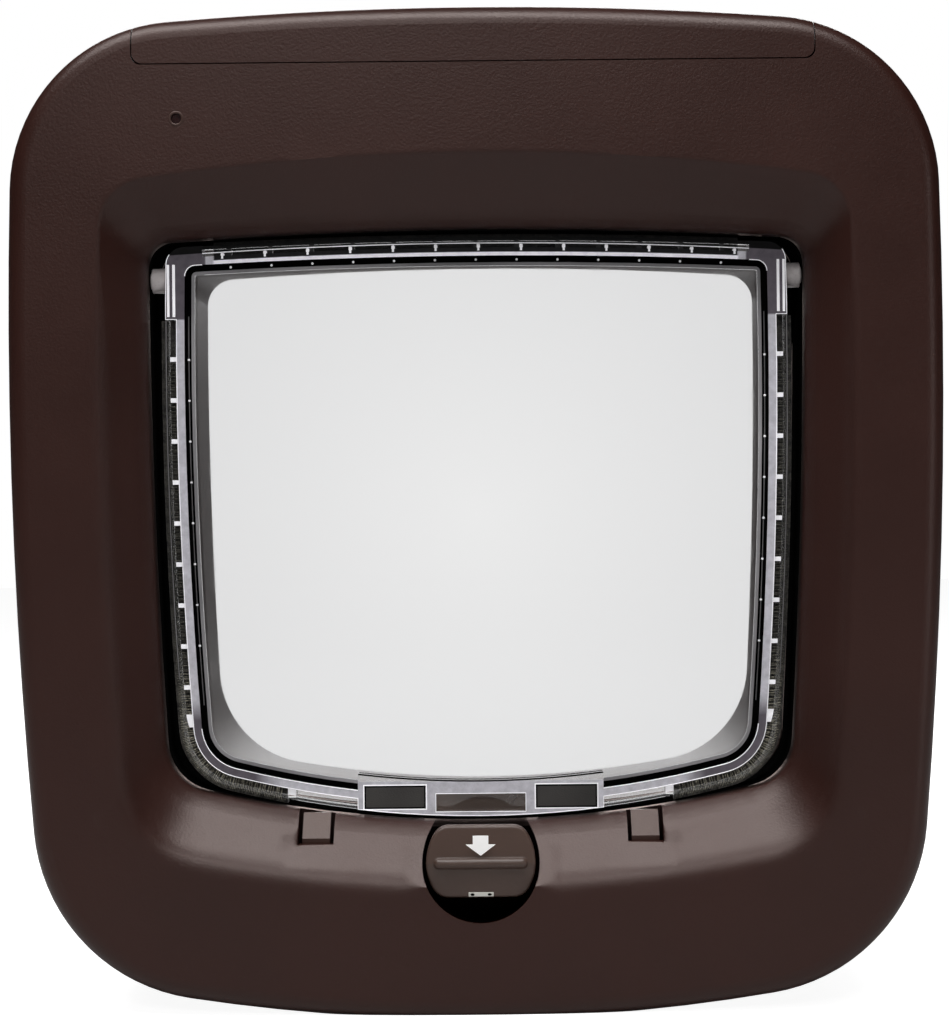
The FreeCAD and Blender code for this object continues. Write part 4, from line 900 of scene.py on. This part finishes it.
def buildDialArrow():
    # The stem is a plane; its lower edge is extruded out to the head and drawn in to the tip
    top, shoulder, tip = dialMarks["stemTop"], dialMarks["shoulder"], dialMarks["tip"]
    bpy.ops.mesh.primitive_plane_add(size=1, rotation=(math.radians(90), 0, 0))
    arrow = bpy.context.active_object
    arrow.name = "dialArrow"
    arrow.scale = (2 * dialMarks["stemHalf"], top - shoulder, 1)
    arrow.location = (0, 0, (top + shoulder) / 2)
    settle(arrow)
    mesh = arrow.data
    startEdit()
    pickNone("VERT")
    for v in mesh.vertices:
        v.select = v.co.z < shoulder + 0.0001
    startEdit()
    bpy.ops.mesh.extrude_region_move(TRANSFORM_OT_translate={"value": (0, 0, -dialMarks["step"])})
    bpy.ops.transform.resize(value=(dialMarks["headHalf"] / dialMarks["stemHalf"], 1, 1),
                             center_override=(0, 0, shoulder))
    bpy.ops.mesh.extrude_region_move(
        TRANSFORM_OT_translate={"value": (0, 0, tip - shoulder + dialMarks["step"])})
    bpy.ops.transform.resize(value=(0.01, 1, 1), center_override=(0, 0, tip))
    bpy.ops.mesh.select_all(action="SELECT")
    bpy.ops.transform.rotate(value=-math.atan(dialMarks["upperSlope"]), orient_axis="X",
                             center_override=(0, 0, dialAxis))
    bpy.ops.transform.translate(value=(0, dialMarks["ridgeFront"] - dialMarks["arrowLift"], 0))
    bpy.ops.mesh.normals_make_consistent(inside=False)
    endEdit()
    if sum(p.normal.y * p.area for p in mesh.polygons) > 0:
        editAll(arrow)
        bpy.ops.mesh.flip_normals()
        endEdit()
    thicken(arrow, dialMarks["arrowThick"], -1)
    dress(arrow, arrowWhite)
    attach(arrow, "dial")


def buildDialInsert():
    # A slim bar with a dark dot near each end
    height = dialMarks["insertHeight"]
    front = facetFront(height)
    insert = softBar("dialInsert", (0, front, height),
                     (2 * dialMarks["insertHalf"], dialMarks["insertThick"], 2 * dialMarks["insertRise"]),
                     dialMarks["insertEdge"], 2, insertSilver)
    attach(insert, "dial")
    for side, label in ((-1, "Left"), (1, "Right")):
        x = side * dialMarks["dotPlace"]
        bpy.ops.mesh.primitive_cylinder_add(vertices=20, radius=dialMarks["dotRadius"],
                                            depth=dialMarks["dotThick"], location=(x, front, height),
                                            rotation=(math.radians(90), 0, 0))
        dot = bpy.context.active_object
        dot.name = "insertDot" + label
        settle(dot)
        editAll(dot)
        bpy.ops.transform.resize(value=(1.5, 1, 0.9), center_override=(x, 0, height))
        endEdit()
        dress(dot, shadeAndDotBlack)
        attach(dot, "dial")


buildDialArrow()
buildDialInsert()
print("dial marks made")


# Ring around the status light
lightRing = {"place": (-0.0724, -0.038, 0.0965), "major": 0.00155, "minor": 0.0003, "flat": 0.5}

bpy.ops.mesh.primitive_torus_add(major_radius=lightRing["major"], minor_radius=lightRing["minor"],
                                 major_segments=40, minor_segments=10, rotation=(math.radians(90), 0, 0),
                                 location=lightRing["place"])
ring = bpy.context.active_object
ring.name = "lightRing"
settle(ring)
editAll(ring)
bpy.ops.transform.resize(value=(1, lightRing["flat"], 1), center_override=lightRing["place"])
endEdit()
bpy.ops.object.shade_smooth()
dress(ring, catchBrown)
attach(ring, "frame")


# Painted highlights: bright edges of the clear brackets at the top corners, on the bracket's own outer wall
bracketGlints = {"outer": 0.0772, "inner": 0.0758, "innerShare": 1.15, "half": 0.00030, "low": 0.0497,
               "high": 0.0628, "front": -0.02256, "thick": 0.0001, "edge": 0.00004}

middle = (bracketGlints["low"] + bracketGlints["high"]) / 2
for side in (-1, 1):
    for label, place, wide in (("Outer", bracketGlints["outer"], 1.0),
                               ("Inner", bracketGlints["inner"], bracketGlints["innerShare"])):
        bar = softBar("bracketGlint" + label + ("Left" if side < 0 else "Right"),
                      (side * place, bracketGlints["front"], middle),
                      (2 * wide * bracketGlints["half"], bracketGlints["thick"],
                       bracketGlints["high"] - bracketGlints["low"]), bracketGlints["edge"], 2, paintedGlintWhite)
        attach(bar, "flap")
print("light ring and bracket edges made")


# Pile threads: fine bristles that stand across the brush channel and reach just past the flap's edge
bristles = {"length": 0.0031, "thick": 0.00011, "front": -0.0216, "step": 0.00042, "reach": 0.0006,
            "corner": 0.016, "cornerX": 0.058, "sideTop": 0.0392, "endX": 0.0497}


def floorSlope(x):
    return 2 * flapShape["floorRise"] * x


def bristleRoute():
    # Points and outward directions down the side, round the corner and along the bottom
    radius = bristles["corner"]
    centreX = bristles["cornerX"]
    for _ in range(30):
        centreZ = flapFloor(centreX) + radius * math.sqrt(1 + floorSlope(centreX) ** 2)
        centreX = flapHalf(centreZ) - radius
    lean = math.atan(floorSlope(centreX))
    route = []
    z = bristles["sideTop"]
    while z > centreZ:
        route.append((flapHalf(z), z, 0.0))
        z -= bristles["step"]
    turn = 0.0
    while turn < math.pi / 2 - lean:
        route.append((centreX + radius * math.cos(turn), centreZ - radius * math.sin(turn), turn))
        turn += bristles["step"] / radius
    x = route[-1][0] - bristles["step"]
    while x > bristles["endX"]:
        route.append((x, flapFloor(x), math.pi / 2 - math.atan(floorSlope(x))))
        x -= bristles["step"]
    return route


def buildBristles():
    bpy.ops.mesh.primitive_cone_add(vertices=4, radius1=bristles["thick"], radius2=bristles["thick"] * 0.5,
                                    depth=bristles["length"], rotation=(0, math.radians(90), 0),
                                    location=(bristles["reach"] - bristles["length"] / 2, 0, 0))
    thread = bpy.context.active_object
    settle(thread)
    editAll(thread)
    bpy.ops.mesh.subdivide(number_cuts=1)
    endEdit()
    for side, label in ((1, "Right"), (-1, "Left")):
        row = []
        for count, (x, z, turn) in enumerate(bristleRoute()):
            # Each thread leans, stands and is drawn out a little differently
            angle = turn + math.sin(count * 2.399) * 0.12
            other = copyAt(thread, (side * x, bristles["front"] + 0.00015 * math.sin(count * 1.7), z))
            other.rotation_euler = (0, angle if side > 0 else math.pi - angle, 0)
            other.scale = (1 + 0.1 * math.sin(count * 3.1), 1, 1)
            row.append(other)
        fringe = joinRow("brushThreads" + label, row, brushThread)
        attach(fringe, "flap")
        print("brush threads:", label, len(row))
    bpy.data.objects.remove(thread)


buildBristles()


# Floor, world and lamps
studio = {"floor": -0.1226, "floorSize": 6, "world": 0.03, "top": 16.0, "brow": 2.0, "right": 1.2,
          "back": 8.0}


def lightPath(tree):
    # The light path, and 1 where the camera sees directly or through the clear flap
    path = addNode(tree, "ShaderNodeLightPath").outputs
    return path, maths(tree, "MAXIMUM", path["Is Camera Ray"], path["Is Transmission Ray"])


world = bpy.data.worlds.new("studioWorld")
scene.world = world
world.use_nodes = True
tree = world.node_tree
tree.nodes.clear()
_, direct = lightPath(tree)
lit = feed(addNode(tree, "ShaderNodeBackground"), Color=(1, 1, 1, 1), Strength=studio["world"])
seen = feed(addNode(tree, "ShaderNodeBackground"), Color=(1, 1, 1, 1), Strength=1.0)
feed(addNode(tree, "ShaderNodeOutputWorld"), Surface=mixShaders(tree, direct, lit, seen).outputs[0])

bpy.ops.mesh.primitive_plane_add(size=studio["floorSize"], location=(0, 0, studio["floor"]))
floor = bpy.context.active_object
floor.name = "floor"
material, tree = newMaterial("floorPale")
path, direct = lightPath(tree)
matt = feed(addNode(tree, "ShaderNodeBsdfDiffuse"), Color=(0.5, 0.5, 0.5, 1))
glow = feed(addNode(tree, "ShaderNodeEmission"), Color=(0.93, 0.93, 0.93, 1), Strength=direct)
both = inOrder(tree, "ShaderNodeAddShader", matt.outputs[0], glow.outputs[0])
plain = feed(addNode(tree, "ShaderNodeEmission"), Color=(1, 1, 1, 1), Strength=1.0)
finishMaterial(tree, mixShaders(tree, path["Is Transmission Ray"], both, plain))
floor.data.materials.append(material)


def softbox(name, place, aim, wide, tall, power):
    lamp = bpy.data.lights.new(name, "AREA")
    lamp.shape = "RECTANGLE"
    lamp.size = wide
    lamp.size_y = tall
    lamp.energy = power
    lampObject = bpy.data.objects.new(name, lamp)
    lampObject.location = place
    lampObject.rotation_euler = (Vector(aim) - Vector(place)).to_track_quat("-Z", "Y").to_euler()
    lampObject.visible_camera = False
    scene.collection.objects.link(lampObject)


softbox("topBox", (-0.14, -0.42, 1.05), (0, -0.03, -0.05), 1.3, 0.5, studio["top"])
softbox("browBox", (-0.15, -1.0, 0.62), (0, -0.02, 0.05), 0.5, 0.25, studio["brow"])
softbox("rightBox", (1.0, -0.9, 0.1), (0, -0.02, 0), 0.4, 0.5, studio["right"])
softbox("backBox", (0, 1.0, 0.45), (0, 0.03, -0.03), 0.8, 0.5, studio["back"])
print("studio lit")
